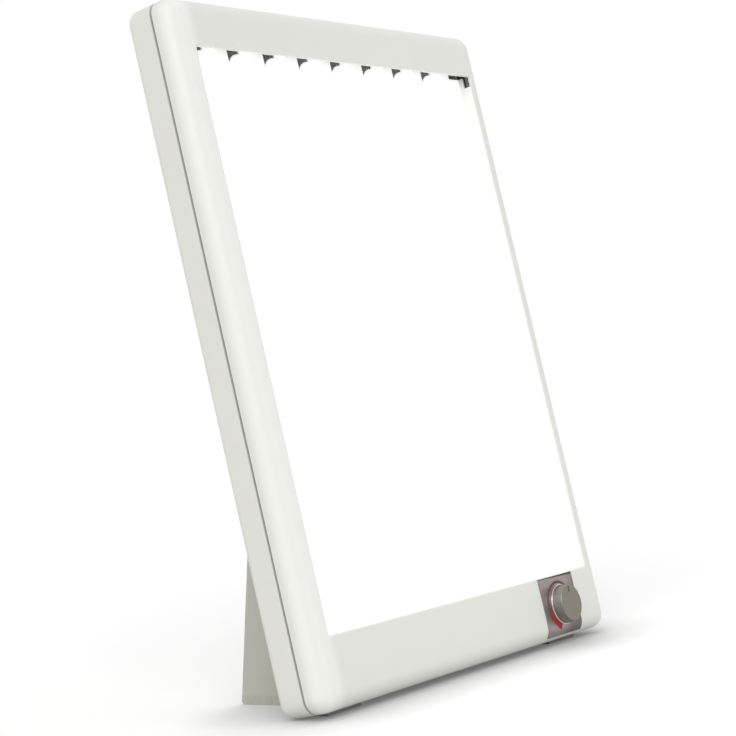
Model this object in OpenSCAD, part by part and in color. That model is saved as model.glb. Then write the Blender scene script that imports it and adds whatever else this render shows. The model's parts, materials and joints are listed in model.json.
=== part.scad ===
// X-ray film viewer: a slim lit panel that leans back on two stand fins.
// Every piece is drawn in the panel's own frame: x runs across it, y up it from the lower edge,
// and z out of its front from the back plane. leaned() then tips the panel back onto its feet.

/* [Screen and casing] */
// Width of the screen opening
screen_w = 360; // [330:1:400]
// Height of the screen opening
screen_h = 432; // [400:1:460]
// Width of each side bezel
side_bezel = 17; // [16.5:0.5:26]
// How much wider the left bezel is than the right one
left_extra = 5; // [0:0.5:8]
// Height of the top bezel
top_bezel = 38; // [36:0.5:50]
// Height of the bottom bezel
bottom_bezel = 52; // [50:0.5:70]
// Depth of the casing from its back plane to its front plane
casing_depth = 42; // [41:0.5:56]
// Depth of the front shell's side wall
front_depth = 17; // [16:0.5:19]
// Wall of both shells
wall = 2.5; // [2:0.1:2.8]
// Radius of the casing's outline corners
corner_r = 12.5; // [12:0.5:24]
// Rounding of the front shell's outer edge
front_round = 12; // [6:0.5:12]
// Rounding of the rear shell's outer edge
back_round = 5; // [3.5:0.5:6]
// Height of the reveal between the two shells
seam_gap = 2; // [1:0.1:3]
// How far the panel leans back from upright, in degrees
lean = 9; // [6:0.5:12]

/* [Screen] */
// How far the screen lies behind the front plane
screen_recess = 11; // [10.5:0.25:12]
// Thickness of the opal screen
screen_t = 3; // [2:0.25:4]
// How far the screen reaches behind the lip on each side
screen_lap = 3; // [2:0.1:3.1]
// Thickness of the lip around the opening
lip_t = 2; // [1.2:0.1:2.5]
// Rounding of the lip's front edge
lip_round = 1.5; // [1:0.25:3.5]

/* [Film grips] */
// Bare stretch of the opening left of the first grip
grip_end_left = 1; // [0.5:0.5:16]
// Bare stretch of the opening right of the last grip
grip_end_right = 18.5; // [8:0.5:24]
// Gap between two neighbouring grips
grip_gap = 1.3; // [0.8:0.1:3]
// Thickness of a grip tab
grip_t = 2; // [1.5:0.1:2.4]
// How far a grip hangs below the top bezel's edge
grip_drop = 22; // [16:0.5:26]
// Radius of the rounded upper corner of a grip
grip_shoulder = 10; // [8:0.5:12]
// Slope of a grip's upper edge, in degrees
grip_slope = 7; // [0:0.5:9]
// Radius of the rod that the grips swing on
rod_r = 1.5; // [1:0.1:1.8]

/* [Control] */
// Width of the metal control plate
plate_w = 52; // [44:0.5:60]
// Thickness of the control plate
plate_t = 0.8; // [0.5:0.1:1.2]
// Distance from the casing's right side to the plate
plate_inset = 43; // [41:0.5:60]
// Diameter of the knob at its foot
knob_d = 33; // [28:0.5:36]
// Diameter of the knob at its face
knob_face_d = 30; // [24:0.5:32]
// Height of the knob
knob_h = 10; // [9.5:0.25:14]
// Radius of the dimmer's shaft
shaft_r = 3; // [2.5:0.1:3.2]

/* [Stand] */
// Distance from the casing's side to the outer face of a stand fin
fin_inset = 59; // [50:1:64]
// How far a fin reaches behind the casing's lower back edge, along the floor
fin_reach = 86; // [76:1:92]
// Height up the back at which the fin's sloping edge meets it
fin_top = 258; // [220:1:280]
// Thickness of a fin
fin_t = 4; // [3.6:0.1:4.4]
// Radius of the hinge pin
pin_r = 1.2; // [0.8:0.05:1.25]
// Height of the rubber strip under a fin
strip_h = 7; // [5:0.25:9]
// Width of a rubber foot under the casing
foot_w = 40; // [24:1:60]

/* [Lamps] */
// Radius of a lamp's glass tubes
tube_r = 7; // [6:0.25:7.4]
// Distance between the two tubes of one lamp
tube_pitch = 20; // [16:0.5:24]
// Thickness of the reflector tray's sheet
tray_t = 1; // [0.6:0.1:1.2]

/* [Hidden] */

$fn = 72;

// Gap between moving pieces, gap between still ones, running gap of a pin, and overrun of a cut
run_gap = 0.3;
fit_gap = 0.2;
pin_gap = 0.05;
cut = 1;

// Overall size of the casing and the levels that the pieces share
casing_w = screen_w + 2 * side_bezel;
casing_h = bottom_bezel + screen_h + top_bezel;
win_x0 = -screen_w / 2 + left_extra;
win_x1 = screen_w / 2;
win_y0 = bottom_bezel;
win_y1 = bottom_bezel + screen_h;
seam_z = casing_depth - front_depth;
rear_z = seam_z - seam_gap;
screen_z = casing_depth - screen_recess;
screen_back_z = screen_z - screen_t;
face_z = casing_depth - wall;

// Tongue of the rear shell that stands up inside the front shell and floors the reveal
tongue_t = 1.5;
tongue_up = 4;

// Stand fin: it swings on a pin inside a shallow recess in the back, as deep as the fin is thick
pin_x = casing_w / 2 - fin_inset - fin_t / 2;
pin_z = fin_t / 2 + run_gap;
recess_z = fin_t + 2 * run_gap;
fin_low = 7;
fin_floor_r = fin_low / tan(lean) + pin_z;
fin_end_r = fin_reach * cos(lean) + pin_z;
fin_edge = atan((fin_top - fin_floor(fin_end_r)) / (fin_end_r - pin_z));
fin_tip = 6;
fin_end_y = fin_top - fin_tip;
fin_corner = 3;
lug_w = 8;
lug_clear = 1.6;
lug_y_shares = [0.03, 0.5, 0.97];
scoop_r = 9;
scoop_y_share = 0.45;
strip_rib_t = 1.4;
strip_rib_h = 3;
strip_rib_in = 6;
function fin_floor(r) = (r - pin_z) * tan(lean);
function fin_slope_r(y) = (fin_top - y) / tan(fin_edge) + pin_z;
function fin_y(share) = fin_low + share * (fin_end_y - fin_low);

// Case screws, from the back, through the rear shell's posts into the front shell's
screw_r = 1.5;
head_r = 3.2;
head_h = 2.4;
head_gap = 0.4;
head_slot_w = 0.9;
head_slot_d = 1.1;
head_slot_share = 0.7;
post_r = 4.5;
post_gap = 0.5;
case_screw_seat = 14;
case_screw_bite = 11;
corner_post_in = 13;
corner_post_up = 14;
side_post_x = screen_w / 2 + screen_lap + post_gap + post_r;
case_posts = [for (s = [-1, 1])
    each [[s * (casing_w / 2 - corner_post_in), corner_post_up],
          [s * side_post_x, casing_h / 2],
          [s * (casing_w / 2 - corner_post_in), casing_h - corner_post_up]]];

// Grip rail, which also holds the screen's upper edge
row_x0 = win_x0 + grip_end_left;
row_x1 = win_x1 - grip_end_right;
rail_below = 10;
rail_y0 = win_y1 - rail_below;
rail_above = 26;
rail_y1 = win_y1 + rail_above;
rail_t = 1.2;
rail_z = screen_z + rail_t;
rail_web_y = win_y1 + fit_gap;
rail_lap = 6;
rail_lug_w = 3;
rail_post_up = 21;
rail_post_r = 4;
rail_post_shares = [0.08, 0.36, 0.64, 0.92];
rail_screw_bite = 6;

// Reflector tray, clamped behind the screen by its rim
tray_gap = 0.9;
tray_z = recess_z + wall + tray_gap;
tray_floor_z = tray_z + tray_t;
tray_rim_w = 5;
tray_slope_w = 14;
tray_skew = 1.4;
tray_half_w = screen_w / 2 + screen_lap;
tray_y0 = win_y0 - screen_lap;
tray_y1 = win_y1 - rail_lap - fit_gap;
tray_box_y0 = tray_y0 + tray_rim_w;
tray_box_y1 = tray_y1 - tray_rim_w;
tray_post_y_shares = [0.22, 0.78];
tray_screw_bite = 8;
tray_posts = [for (s = [-1, 1], k = tray_post_y_shares) [s * side_post_x, win_y0 + k * screen_h]];

// Lamps: twin tubes that stand side by side up the tray
lamp_count = 3;
lamp_pitch = screen_w / lamp_count;
tube_lift = 1;
tube_z = tray_floor_z + tube_lift + tube_r;
holder_h = 12;
holder_gap = 1.5;
holder_y0 = tray_box_y0 + tray_t + holder_gap;
holder_side = 3;
base_side = 2.5;
base_w = tube_pitch + 2 * tube_r + 2 * base_side;
base_h = 24;
base_step_h = 8;
base_y0 = holder_y0 + holder_h;
tube_y0 = base_y0 + base_h;
lamp_end_gap = 6;
glass_t = 0.9;
tube_y1 = tray_box_y1 - tray_t - lamp_end_gap;
bridge_r = 3;
bridge_down = 14;
cradle_y_share = 0.82;
cradle_h = 9;
cradle_wall = 2;
cradle_up_share = 0.45;
contact_r = 1.1;
contact_l = 7;
contact_x_shares = [-0.375, -0.125, 0.125, 0.375];
function lamp_x(i) = (i - (lamp_count + 1) / 2) * lamp_pitch;

// Film grips: tabs on one rod behind the top bezel
grip_count = 8;
grip_pitch = (row_x1 - row_x0) / grip_count;
grip_w = grip_pitch - grip_gap;
grip_z0 = rail_z + run_gap;
grip_pad_z = screen_z + run_gap;
grip_foot_r = 3;
grip_square_r = 1.5;
grip_y0 = win_y1 - grip_drop;
grip_y1 = win_y1;
neck_w = 14;
neck_lap = 8;
rod_up = 11;
rod_y = win_y1 + rod_up;
barrel_t = 1.7;
barrel_r = rod_r + barrel_t;
rod_z = face_z - run_gap - barrel_r;
spring_w = 5;
spring_wire = 0.7;
function grip_x(i) = row_x0 + (i - 0.5) * grip_pitch;

// Control: plate, knob and dimmer halfway up the bottom bezel
knob_x = casing_w / 2 - plate_inset - plate_w / 2;
knob_up = 1;
knob_y = bottom_bezel / 2 + knob_up;
plate_bend = 46;
plate_top_gap = 1;
plate_y1 = win_y0 - plate_top_gap;
bush_up = 3.2;
knob_lift = 0.6;
knob_rim = 1.2;
knob_foot_h = 2;
knob_z0 = casing_depth + plate_t + knob_lift;
knob_z1 = knob_z0 + knob_h;
knob_hollow_r = 10;
knob_roof = 3;
knob_hollow_h = knob_h - knob_roof;
knob_hub_z = bush_up - knob_lift + run_gap;
knob_hub_r = 5;
knob_face_step = 0.5;
pointer_w = 1.8;
pointer_in = 5;
bush_r = 5;
nut_r = 7;
nut_h = 2.4;
nut_sides = 6;
dimmer_r = 12;
dimmer_h = 12;
dimmer_leg_w = 2;
dimmer_leg_t = 0.8;
dimmer_leg_l = 5;
dimmer_leg_pitch = 6;
shaft_sink = 8;

// Power inlet in the middle of the back, below the lamps
inlet_y_share = 0.55;
inlet_y = inlet_y_share * bottom_bezel;
inlet_w = 27;
inlet_h = 20;
inlet_wall = 1.5;
inlet_depth = 20;
inlet_floor = 3;
flange_w = 50;
flange_h = 24;
flange_t = 2;
flange_r = 4;
inlet_screw_x = 20;
inlet_head_h = 1.6;
inlet_screw_l = 9;
socket_chamfer = 5;
blade_w = 2;
blade_h = 4;
blade_l = 13;
blade_x = 7;
blade_y = 2;
blade_tail = 6;

// Ballast and terminal block in the bottom of the rear shell, on pads
gear_up = 4;
gear_y0 = wall + gear_up;
gear_z0 = tray_z;
gear_gap = 8;
pad_r = 4;
gear_side = 3.5;
ballast_w = tray_y0 - 2 * gear_up - wall;
ballast_t = 18;
ballast_gap = 1;
ballast_x0 = -(casing_w / 2 - corner_post_in - post_r - gear_side);
ballast_x1 = -flange_w / 2 - ballast_gap;
ballast_foot = 9;
ballast_foot_t = 1.5;
ballast_lid_t = 0.8;
ballast_lid_lap = 0.6;
terminal_x0 = flange_w / 2 + gear_gap / 2;
terminal_w = 34;
terminal_h = 14;
terminal_t = 12;
terminal_ways = 4;
terminal_hole_r = 1.4;
terminal_rib = 2;

// Vents and keyholes in the back
vent_w = 3;
vent_h = 24;
vent_pitch = 8;
vent_count = 15;
vent_y_shares = [0.79, 0.86];
key_in = 47;
key_down = 82;
key_x = casing_w / 2 - key_in;
key_y = casing_h - key_down;
key_r = 4.5;
key_slot_r = 2.2;
key_slot_l = 9;

// Rubber feet under the rear shell, cut level with the floor
foot_edge = 0.5;
foot_front_gap = 2;
foot_z0 = back_round + foot_edge;
foot_z1 = rear_z - foot_front_gap;
foot_in = 46;
foot_x = casing_w / 2 - foot_in;
stem_r = 2.6;
stem_over = 1.5;

// Small dark notch in the opening's upper right corner
notch_w = 3;
notch_h = 9;
notch_d = 7;

// Centre of the fin's rounded end: x is the distance from the pin, y runs up the panel
fin_inner = lean + fin_edge;
fin_bisector = 180 + lean - fin_inner / 2;
fin_corner_at = [fin_end_r, fin_floor(fin_end_r)]
    + fin_corner / sin(fin_inner / 2) * [cos(fin_bisector), sin(fin_bisector)];

// How far the fin and the knob reach from the lower back edge, and the shift that centres the whole
fin_back = (fin_corner_at[0] - pin_z) * cos(lean) + fin_corner_at[1] * sin(lean) + fin_corner;
knob_reach = (knob_z1 - knob_rim) * cos(lean) - (knob_y - knob_face_d / 2 + knob_rim) * sin(lean) + knob_rim;
row_shift = (fin_back - knob_reach) / 2;

// Points of an arc about c
function arc(c, r, a0, a1, n = 8) = [for (i = [0:n]) c + r * [cos(a0 + (a1 - a0) * i / n), sin(a0 + (a1 - a0) * i / n)]];

// Tips the panel back by the lean and centres it over the origin
module leaned() {
    translate([0, -row_shift, 0]) rotate([90 - lean, 0, 0]) children();
}

// Shows its children on the left and again mirrored on the right
module both_sides() {
    children();
    mirror([1, 0, 0]) children();
}

// Half section of a slab: its outer lower edge is a quarter round
module slab_section(reach, depth, round) {
    difference() {
        square([reach, depth]);
        translate([reach - round, 0]) difference() {
            translate([0, -cut]) square([round + cut, round + cut]);
            translate([0, round]) circle(round);
        }
    }
}

// Slab with rounded corners and a rounded lower edge, centred in x and y, from z = 0 up
module soft_slab(w, h, corner, round, depth) {
    mid_x = w / 2 - corner;
    mid_y = h / 2 - corner;
    translate([-mid_x, -mid_y, 0]) cube([2 * mid_x, 2 * mid_y, depth]);
    for (s = [0, 1]) {
        mirror([0, s, 0]) translate([-mid_x, mid_y, 0])
            rotate([90, 0, 90]) linear_extrude(2 * mid_x) slab_section(corner, depth, round);
        mirror([s, 0, 0]) translate([mid_x, mid_y, 0])
            rotate([90, 0, 0]) linear_extrude(2 * mid_y) slab_section(corner, depth, round);
        for (t = [0, 1]) mirror([s, 0, 0]) mirror([0, t, 0]) translate([mid_x, mid_y, 0])
            rotate_extrude(angle = 90) slab_section(corner, depth, round);
    }
}

// Rounded rectangle, centred
module soft_rect(w, h, r) {
    square([w - 2 * r, h], center = true);
    square([w, h - 2 * r], center = true);
    for (x = [-1, 1], y = [-1, 1]) translate([x * (w / 2 - r), y * (h / 2 - r)]) circle(r);
}

// Bar along x with the given (y, z) section
module bar_x(x0, x1) {
    translate([x0, 0, 0]) rotate([90, 0, 90]) linear_extrude(x1 - x0) children();
}

// Round bar along x through the point (y, z)
module rod_x(x0, x1, y, z, r) {
    translate([x0, y, z]) rotate([0, 90, 0]) cylinder(r = r, h = x1 - x0);
}

// Round post along z
module post(p, r, z0, z1) {
    translate([p[0], p[1], z0]) cylinder(r = r, h = z1 - z0);
}

// Screw along z: its head's seat at z, its shank upward, and a cross in its head
module screw(p, z, shank, head) {
    post(p, screw_r, z, z + shank);
    difference() {
        post(p, head_r, z - head, z);
        for (a = [0, 90]) translate([p[0], p[1], z - head]) rotate(a)
            cube([2 * head_r * head_slot_share, head_slot_w, head_slot_d], center = true);
    }
}

// What a cutter takes off an edge to round it: the corner lies at the origin, the metal above and right
module round_off(r) {
    difference() {
        translate([-cut, -cut]) square(r + cut);
        translate([r, r]) circle(r);
    }
}

module front_shell_solid() {
    translate([0, casing_h / 2, casing_depth]) mirror([0, 0, 1]) difference() {
        soft_slab(casing_w, casing_h, corner_r, front_round, front_depth);
        translate([0, 0, wall]) soft_slab(casing_w - 2 * wall, casing_h - 2 * wall,
                                          corner_r - wall, front_round - wall, front_depth);
    }
}

// Places of the posts that the grip rail hangs on
function rail_posts() = [for (k = rail_post_shares) [row_x0 + k * (row_x1 - row_x0), win_y1 + rail_post_up]];

module front_bezel() {
    color([0.89, 0.9, 0.87]) leaned() difference() {
        union() {
            difference() {
                front_shell_solid();
                translate([win_x0, win_y0, face_z - cut]) cube([win_x1 - win_x0, screen_h, wall + 2 * cut]);
            }
            for (x = [win_x0 - lip_t, win_x1])
                translate([x, win_y0 - lip_t, screen_z]) cube([lip_t, screen_h + lip_t, face_z - screen_z]);
            translate([win_x0, win_y0 - lip_t, screen_z]) cube([win_x1 - win_x0, lip_t, face_z - screen_z]);
            for (p = rail_posts()) post(p, rail_post_r, rail_z, face_z);
            intersection() {
                union() {
                    for (p = case_posts) post(p, post_r, seam_z, face_z);
                    for (p = tray_posts) post(p, post_r, screen_back_z, face_z);
                }
                translate([0, casing_h / 2, casing_depth]) mirror([0, 0, 1])
                    soft_slab(casing_w, casing_h, corner_r, front_round, front_depth);
            }
        }
        // Rounded front edge of the lip, on the two sides and along the bottom
        for (s = [0, 1]) translate([s * win_x1 + (1 - s) * win_x0, win_y1, casing_depth]) mirror([1 - s, 0, 0])
            rotate([90, 0, 0]) linear_extrude(screen_h) mirror([0, 1, 0]) round_off(lip_round);
        translate([win_x0, win_y0, casing_depth]) rotate([90, 0, 90])
            linear_extrude(win_x1 - win_x0) rotate(180) round_off(lip_round);
        for (p = case_posts) post(p, screw_r, seam_z - cut, seam_z + case_screw_bite);
        for (p = tray_posts) post(p, screw_r, screen_back_z - cut, screen_back_z + tray_screw_bite);
        for (p = rail_posts()) post(p, screw_r, rail_z - cut, rail_z + rail_screw_bite);
        post([knob_x, knob_y], bush_r + fit_gap, face_z - cut, casing_depth + cut);
        translate([win_x1 - cut, win_y1 - notch_h, casing_depth - notch_d])
            cube([notch_w + cut, notch_h, notch_d + cut]);
    }
}

// Outline of a fin from the side: x is the distance from its pin, y runs up the panel
module fin_outline(grow = 0) {
    polygon(concat([[-grow, fin_low - grow], [fin_floor_r, fin_low - grow]],
                   arc(fin_corner_at, fin_corner + grow, lean - 90, 90 - fin_edge),
                   [[fin_slope_r(fin_end_y) + grow, fin_end_y + grow], [-grow, fin_end_y + grow]]));
}

// Recess that a folded fin lies in, with a scoop for a finger, grown by the wall that backs it
module fin_recess(grow, z0, z1) {
    side = run_gap + fin_t / 2 + grow;
    end_gap = run_gap + grow;
    both_sides() translate([-pin_x, 0, z0]) linear_extrude(z1 - z0) {
        fin_outline(end_gap);
        translate([-side, fin_low - end_gap]) square([side + cut, fin_end_y - fin_low + 2 * end_gap]);
        translate([fin_slope_r(fin_y(scoop_y_share)), fin_y(scoop_y_share)]) circle(scoop_r + grow);
    }
}

module hinge_lugs() {
    for (k = lug_y_shares) both_sides() translate([-pin_x, fin_y(k) - lug_w / 2, pin_z]) {
        rotate([-90, 0, 0]) cylinder(r = fin_t / 2, h = lug_w);
        translate([-fin_t / 2, 0, 0]) cube([fin_t, lug_w, recess_z - pin_z + cut]);
    }
}

module key_slot() {
    cylinder(r = key_r, h = wall + 2 * cut);
    translate([0, key_slot_l, 0]) cylinder(r = key_slot_r, h = wall + 2 * cut);
    translate([-key_slot_r, 0, 0]) cube([2 * key_slot_r, key_slot_l, wall + 2 * cut]);
}

// Pads of the rear shell that the ballast and the terminal block stand on
function gear_pads() = [
    [ballast_x0 + ballast_foot / 2, gear_y0 + ballast_w / 2],
    [ballast_x1 - ballast_foot / 2, gear_y0 + ballast_w / 2],
    [terminal_x0 + pad_r, gear_y0 + terminal_h / 2]];

module tongue_ring(outer_w, outer_h, outer_r, inner_gap) {
    difference() {
        soft_rect(outer_w, outer_h, outer_r);
        soft_rect(casing_w - 2 * inner_gap, casing_h - 2 * inner_gap, corner_r - inner_gap);
    }
}

module rear_shell() {
    tongue_in = wall + fit_gap;
    color([0.87, 0.87, 0.84]) leaned() difference() {
        union() {
            translate([0, casing_h / 2, 0]) difference() {
                soft_slab(casing_w, casing_h, corner_r, back_round, rear_z);
                translate([0, 0, wall]) soft_slab(casing_w - 2 * wall, casing_h - 2 * wall,
                                                  corner_r - wall, back_round - wall, rear_z);
            }
            translate([0, casing_h / 2, rear_z - wall]) {
                linear_extrude(wall + seam_gap + tongue_up)
                    tongue_ring(casing_w - 2 * tongue_in, casing_h - 2 * tongue_in, corner_r - tongue_in,
                                tongue_in + tongue_t);
                linear_extrude(wall)
                    tongue_ring(casing_w - wall, casing_h - wall, corner_r - wall / 2, tongue_in + tongue_t);
            }
            for (p = case_posts) post(p, post_r, wall / 2, seam_z);
            for (p = gear_pads()) post(p, pad_r, wall / 2, gear_z0);
            fin_recess(wall, wall / 2, recess_z + wall);
        }
        difference() {
            fin_recess(0, -cut, recess_z);
            hinge_lugs();
        }
        both_sides() translate([-pin_x, fin_low, pin_z]) rotate([-90, 0, 0])
            cylinder(r = pin_r, h = fin_end_y - fin_low);
        for (p = case_posts) {
            post(p, screw_r + head_gap, -cut, seam_z + cut);
            post(p, head_r + head_gap, -cut, case_screw_seat);
        }
        for (k = vent_y_shares, i = [0:vent_count - 1])
            translate([(i - (vent_count - 1) / 2) * vent_pitch, k * casing_h, -cut])
                linear_extrude(wall + 2 * cut) soft_rect(vent_w, vent_h, vent_w / 2 - fit_gap);
        both_sides() translate([key_x, key_y, -cut]) key_slot();
        translate([-inlet_w / 2 - fit_gap, inlet_y - inlet_h / 2 - fit_gap, -cut])
            cube([inlet_w + 2 * fit_gap, inlet_h + 2 * fit_gap, wall + 2 * cut]);
        both_sides() post([inlet_screw_x, inlet_y], screw_r, -cut, wall + cut);
        both_sides() translate([foot_x, -cut, (foot_z0 + foot_z1) / 2]) rotate([-90, 0, 0])
            cylinder(r = stem_r, h = wall + 2 * cut);
    }
}

module diffuser_screen() {
    color([0.99, 0.99, 0.98]) leaned() translate([-tray_half_w, tray_y0, screen_back_z])
        cube([2 * tray_half_w, win_y1 - tray_y0, screen_t]);
}

// Sheet section of the tray across the panel: floor, sloping sides and rim
module tray_section() {
    a = tray_half_w - tray_rim_w;
    b = a - tray_slope_w;
    skew = tray_t * tray_skew;
    polygon([[-a, screen_back_z], [-a, screen_back_z - tray_t], [-b, tray_z], [b, tray_z],
             [a, screen_back_z - tray_t], [a, screen_back_z], [a - skew, screen_back_z],
             [b - skew, tray_floor_z], [-b + skew, tray_floor_z], [-a + skew, screen_back_z]]);
}

module reflector_tray() {
    a = tray_half_w - tray_rim_w;
    b = a - tray_slope_w;
    box_l = tray_box_y1 - tray_box_y0;
    color([0.95, 0.95, 0.95]) leaned() difference() {
        union() {
            translate([0, tray_box_y1, 0]) rotate([90, 0, 0]) linear_extrude(box_l) tray_section();
            for (y = [tray_box_y0, tray_box_y1 - tray_t])
                translate([0, y + tray_t, 0]) rotate([90, 0, 0]) linear_extrude(tray_t)
                    polygon([[-a, screen_back_z], [-b, tray_z], [b, tray_z], [a, screen_back_z]]);
            difference() {
                translate([-tray_half_w, tray_y0, screen_back_z - tray_t])
                    cube([2 * tray_half_w, tray_y1 - tray_y0, tray_t]);
                translate([-a, tray_box_y0, screen_back_z - tray_t - cut])
                    cube([2 * a, box_l, tray_t + 2 * cut]);
            }
            for (p = tray_posts) {
                post(p, post_r, screen_back_z - tray_t, screen_back_z);
                translate([min(p[0], p[0] - sign(p[0]) * 2 * post_r), p[1] - post_r, screen_back_z - tray_t])
                    cube([2 * post_r, 2 * post_r, tray_t]);
            }
        }
        for (p = tray_posts) post(p, screw_r, screen_back_z - tray_t - cut, screen_back_z + cut);
        // Slots in the lower end wall for the lamp leads
        for (i = [1:lamp_count]) translate([lamp_x(i) - base_w / 4, tray_box_y0 - cut, tray_floor_z + tube_lift])
            cube([base_w / 2, tray_t + 2 * cut, tube_r]);
    }
}

// The two legs of a lamp from start to their round ends, each of radius r
module lamp_legs(i, start, r) {
    straight = tube_y1 - tube_r - start;
    for (s = [-1, 1]) translate([lamp_x(i) + s * tube_pitch / 2, start, tube_z]) rotate([-90, 0, 0]) {
        cylinder(r = r, h = straight);
        translate([0, 0, straight]) sphere(r);
    }
}

module lamp_tubes(i) {
    color([0.97, 0.97, 0.95]) leaned() difference() {
        union() {
            lamp_legs(i, tube_y0, tube_r);
            rod_x(lamp_x(i) - tube_pitch / 2, lamp_x(i) + tube_pitch / 2, tube_y1 - bridge_down, tube_z, bridge_r);
        }
        lamp_legs(i, tube_y0 - cut, tube_r - glass_t);
    }
}

module lamp_base(i) {
    color([0.9, 0.9, 0.88]) leaned() {
        translate([lamp_x(i) - base_w / 2, base_y0, tube_z - tube_r]) cube([base_w, base_h, 2 * tube_r]);
        translate([lamp_x(i) - base_w / 2 - base_side / 2, base_y0 + base_h - base_step_h, tube_z - tube_r])
            cube([base_w + base_side, base_step_h / 2, 2 * tube_r]);
        for (k = contact_x_shares) translate([lamp_x(i) + k * base_w, base_y0 - contact_l, tube_z])
            rotate([-90, 0, 0]) cylinder(r = contact_r, h = contact_l + cut);
    }
}

module lamp_holder(i) {
    w = base_w + 2 * holder_side;
    color([0.93, 0.93, 0.9]) leaned() difference() {
        translate([lamp_x(i) - w / 2, holder_y0, tray_floor_z]) cube([w, holder_h, tube_z + tube_r - tray_floor_z]);
        for (k = contact_x_shares) translate([lamp_x(i) + k * base_w, holder_y0 + holder_h - contact_l, tube_z])
            rotate([-90, 0, 0]) cylinder(r = contact_r, h = contact_l + cut);
    }
}

module lamp_cradle(i) {
    w = tube_pitch + 2 * tube_r + 2 * cradle_wall;
    y = tube_y0 + cradle_y_share * (tube_y1 - tube_y0);
    up = tube_z + cradle_up_share * tube_r - tray_floor_z;
    color([0.85, 0.86, 0.88]) leaned() difference() {
        translate([lamp_x(i) - w / 2, y, tray_floor_z]) cube([w, cradle_h, up]);
        for (s = [-1, 1]) translate([lamp_x(i) + s * tube_pitch / 2, y - cut, tube_z]) rotate([-90, 0, 0])
            cylinder(r = tube_r + fit_gap, h = cradle_h + 2 * cut);
    }
}

module ballast() {
    x0 = ballast_x0 + ballast_foot;
    x1 = ballast_x1 - ballast_foot;
    color([0.8, 0.82, 0.84]) leaned() difference() {
        union() {
            translate([ballast_x0, gear_y0, gear_z0]) cube([ballast_x1 - ballast_x0, ballast_w, ballast_foot_t]);
            translate([x0, gear_y0, gear_z0]) cube([x1 - x0, ballast_w, ballast_t]);
            translate([x0 - ballast_lid_lap, gear_y0, gear_z0 + ballast_t - ballast_lid_t])
                cube([x1 - x0 + 2 * ballast_lid_lap, ballast_w, ballast_lid_t]);
        }
        for (x = [ballast_x0 + ballast_foot / 2, ballast_x1 - ballast_foot / 2])
            post([x, gear_y0 + ballast_w / 2], screw_r, gear_z0 - cut, gear_z0 + ballast_foot_t + cut);
    }
}

module terminal_block() {
    way = terminal_w / terminal_ways;
    color([0.92, 0.92, 0.88]) leaned() difference() {
        translate([terminal_x0, gear_y0, gear_z0]) cube([terminal_w, terminal_h, terminal_t]);
        for (i = [0:terminal_ways - 1]) translate([terminal_x0 + (i + 0.5) * way, 0, 0]) {
            post([0, gear_y0 + terminal_h / 2], terminal_hole_r, gear_z0 + terminal_t / 2, gear_z0 + terminal_t + cut);
            translate([0, gear_y0 - cut, gear_z0 + terminal_t / 3]) rotate([-90, 0, 0])
                cylinder(r = terminal_hole_r, h = terminal_h + 2 * cut);
        }
        for (i = [1:terminal_ways - 1])
            translate([terminal_x0 + i * way - terminal_rib / 2, gear_y0 - cut, gear_z0 + terminal_t - terminal_rib])
                cube([terminal_rib, terminal_h + 2 * cut, terminal_rib + cut]);
    }
}

// Mouth of the power socket: a box with its two upper corners cut off
module socket_mouth(grow) {
    w = inlet_w / 2 - inlet_wall + grow;
    h = inlet_h / 2 - inlet_wall + grow;
    c = socket_chamfer;
    polygon([[-w, -h], [w, -h], [w, h - c], [w - c, h], [-w + c, h], [-w, h - c]]);
}

module power_inlet() {
    color([0.16, 0.16, 0.17]) leaned() translate([0, inlet_y, 0]) difference() {
        union() {
            translate([0, 0, -flange_t]) linear_extrude(flange_t) soft_rect(flange_w, flange_h, flange_r);
            translate([-inlet_w / 2, -inlet_h / 2, -flange_t]) cube([inlet_w, inlet_h, inlet_depth]);
        }
        translate([0, 0, -flange_t - cut]) linear_extrude(inlet_depth - inlet_floor + cut) socket_mouth(0);
        both_sides() post([inlet_screw_x, 0], screw_r, -flange_t - cut, cut);
        inlet_blades(inlet_depth - flange_t - inlet_floor - cut, inlet_depth - flange_t + cut);
    }
}

// The three blades, from z0 to z1, about the socket's middle
module inlet_blades(z0, z1) {
    for (p = [[-blade_x, -blade_y], [blade_x, -blade_y], [0, blade_y]])
        translate([p[0] - blade_w / 2, p[1] - blade_h / 2, z0]) cube([blade_w, blade_h, z1 - z0]);
}

module inlet_pins() {
    root = inlet_depth - flange_t - inlet_floor;
    color([0.78, 0.72, 0.55]) leaned() translate([0, inlet_y, 0])
        inlet_blades(root - blade_l, root + inlet_floor + blade_tail);
}

module inlet_screws() {
    color([0.75, 0.76, 0.78]) leaned()
        both_sides() screw([inlet_screw_x, inlet_y], -flange_t, inlet_screw_l, inlet_head_h);
}

// Metal plate: flat over the bezel, then wrapped round its lower edge
module control_plate() {
    bend_z = casing_depth - front_round;
    color([0.66, 0.6, 0.6]) leaned() difference() {
        bar_x(knob_x - plate_w / 2, knob_x + plate_w / 2) {
            translate([front_round, casing_depth]) square([plate_y1 - front_round, plate_t]);
            translate([front_round, bend_z]) intersection() {
                difference() {
                    circle(front_round + plate_t);
                    circle(front_round);
                }
                polygon([[0, 0], [0, 2 * front_round],
                         [-2 * front_round * sin(plate_bend), 2 * front_round * cos(plate_bend)]]);
            }
        }
        post([knob_x, knob_y], bush_r + fit_gap, casing_depth - cut, casing_depth + plate_t + cut);
    }
}

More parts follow.
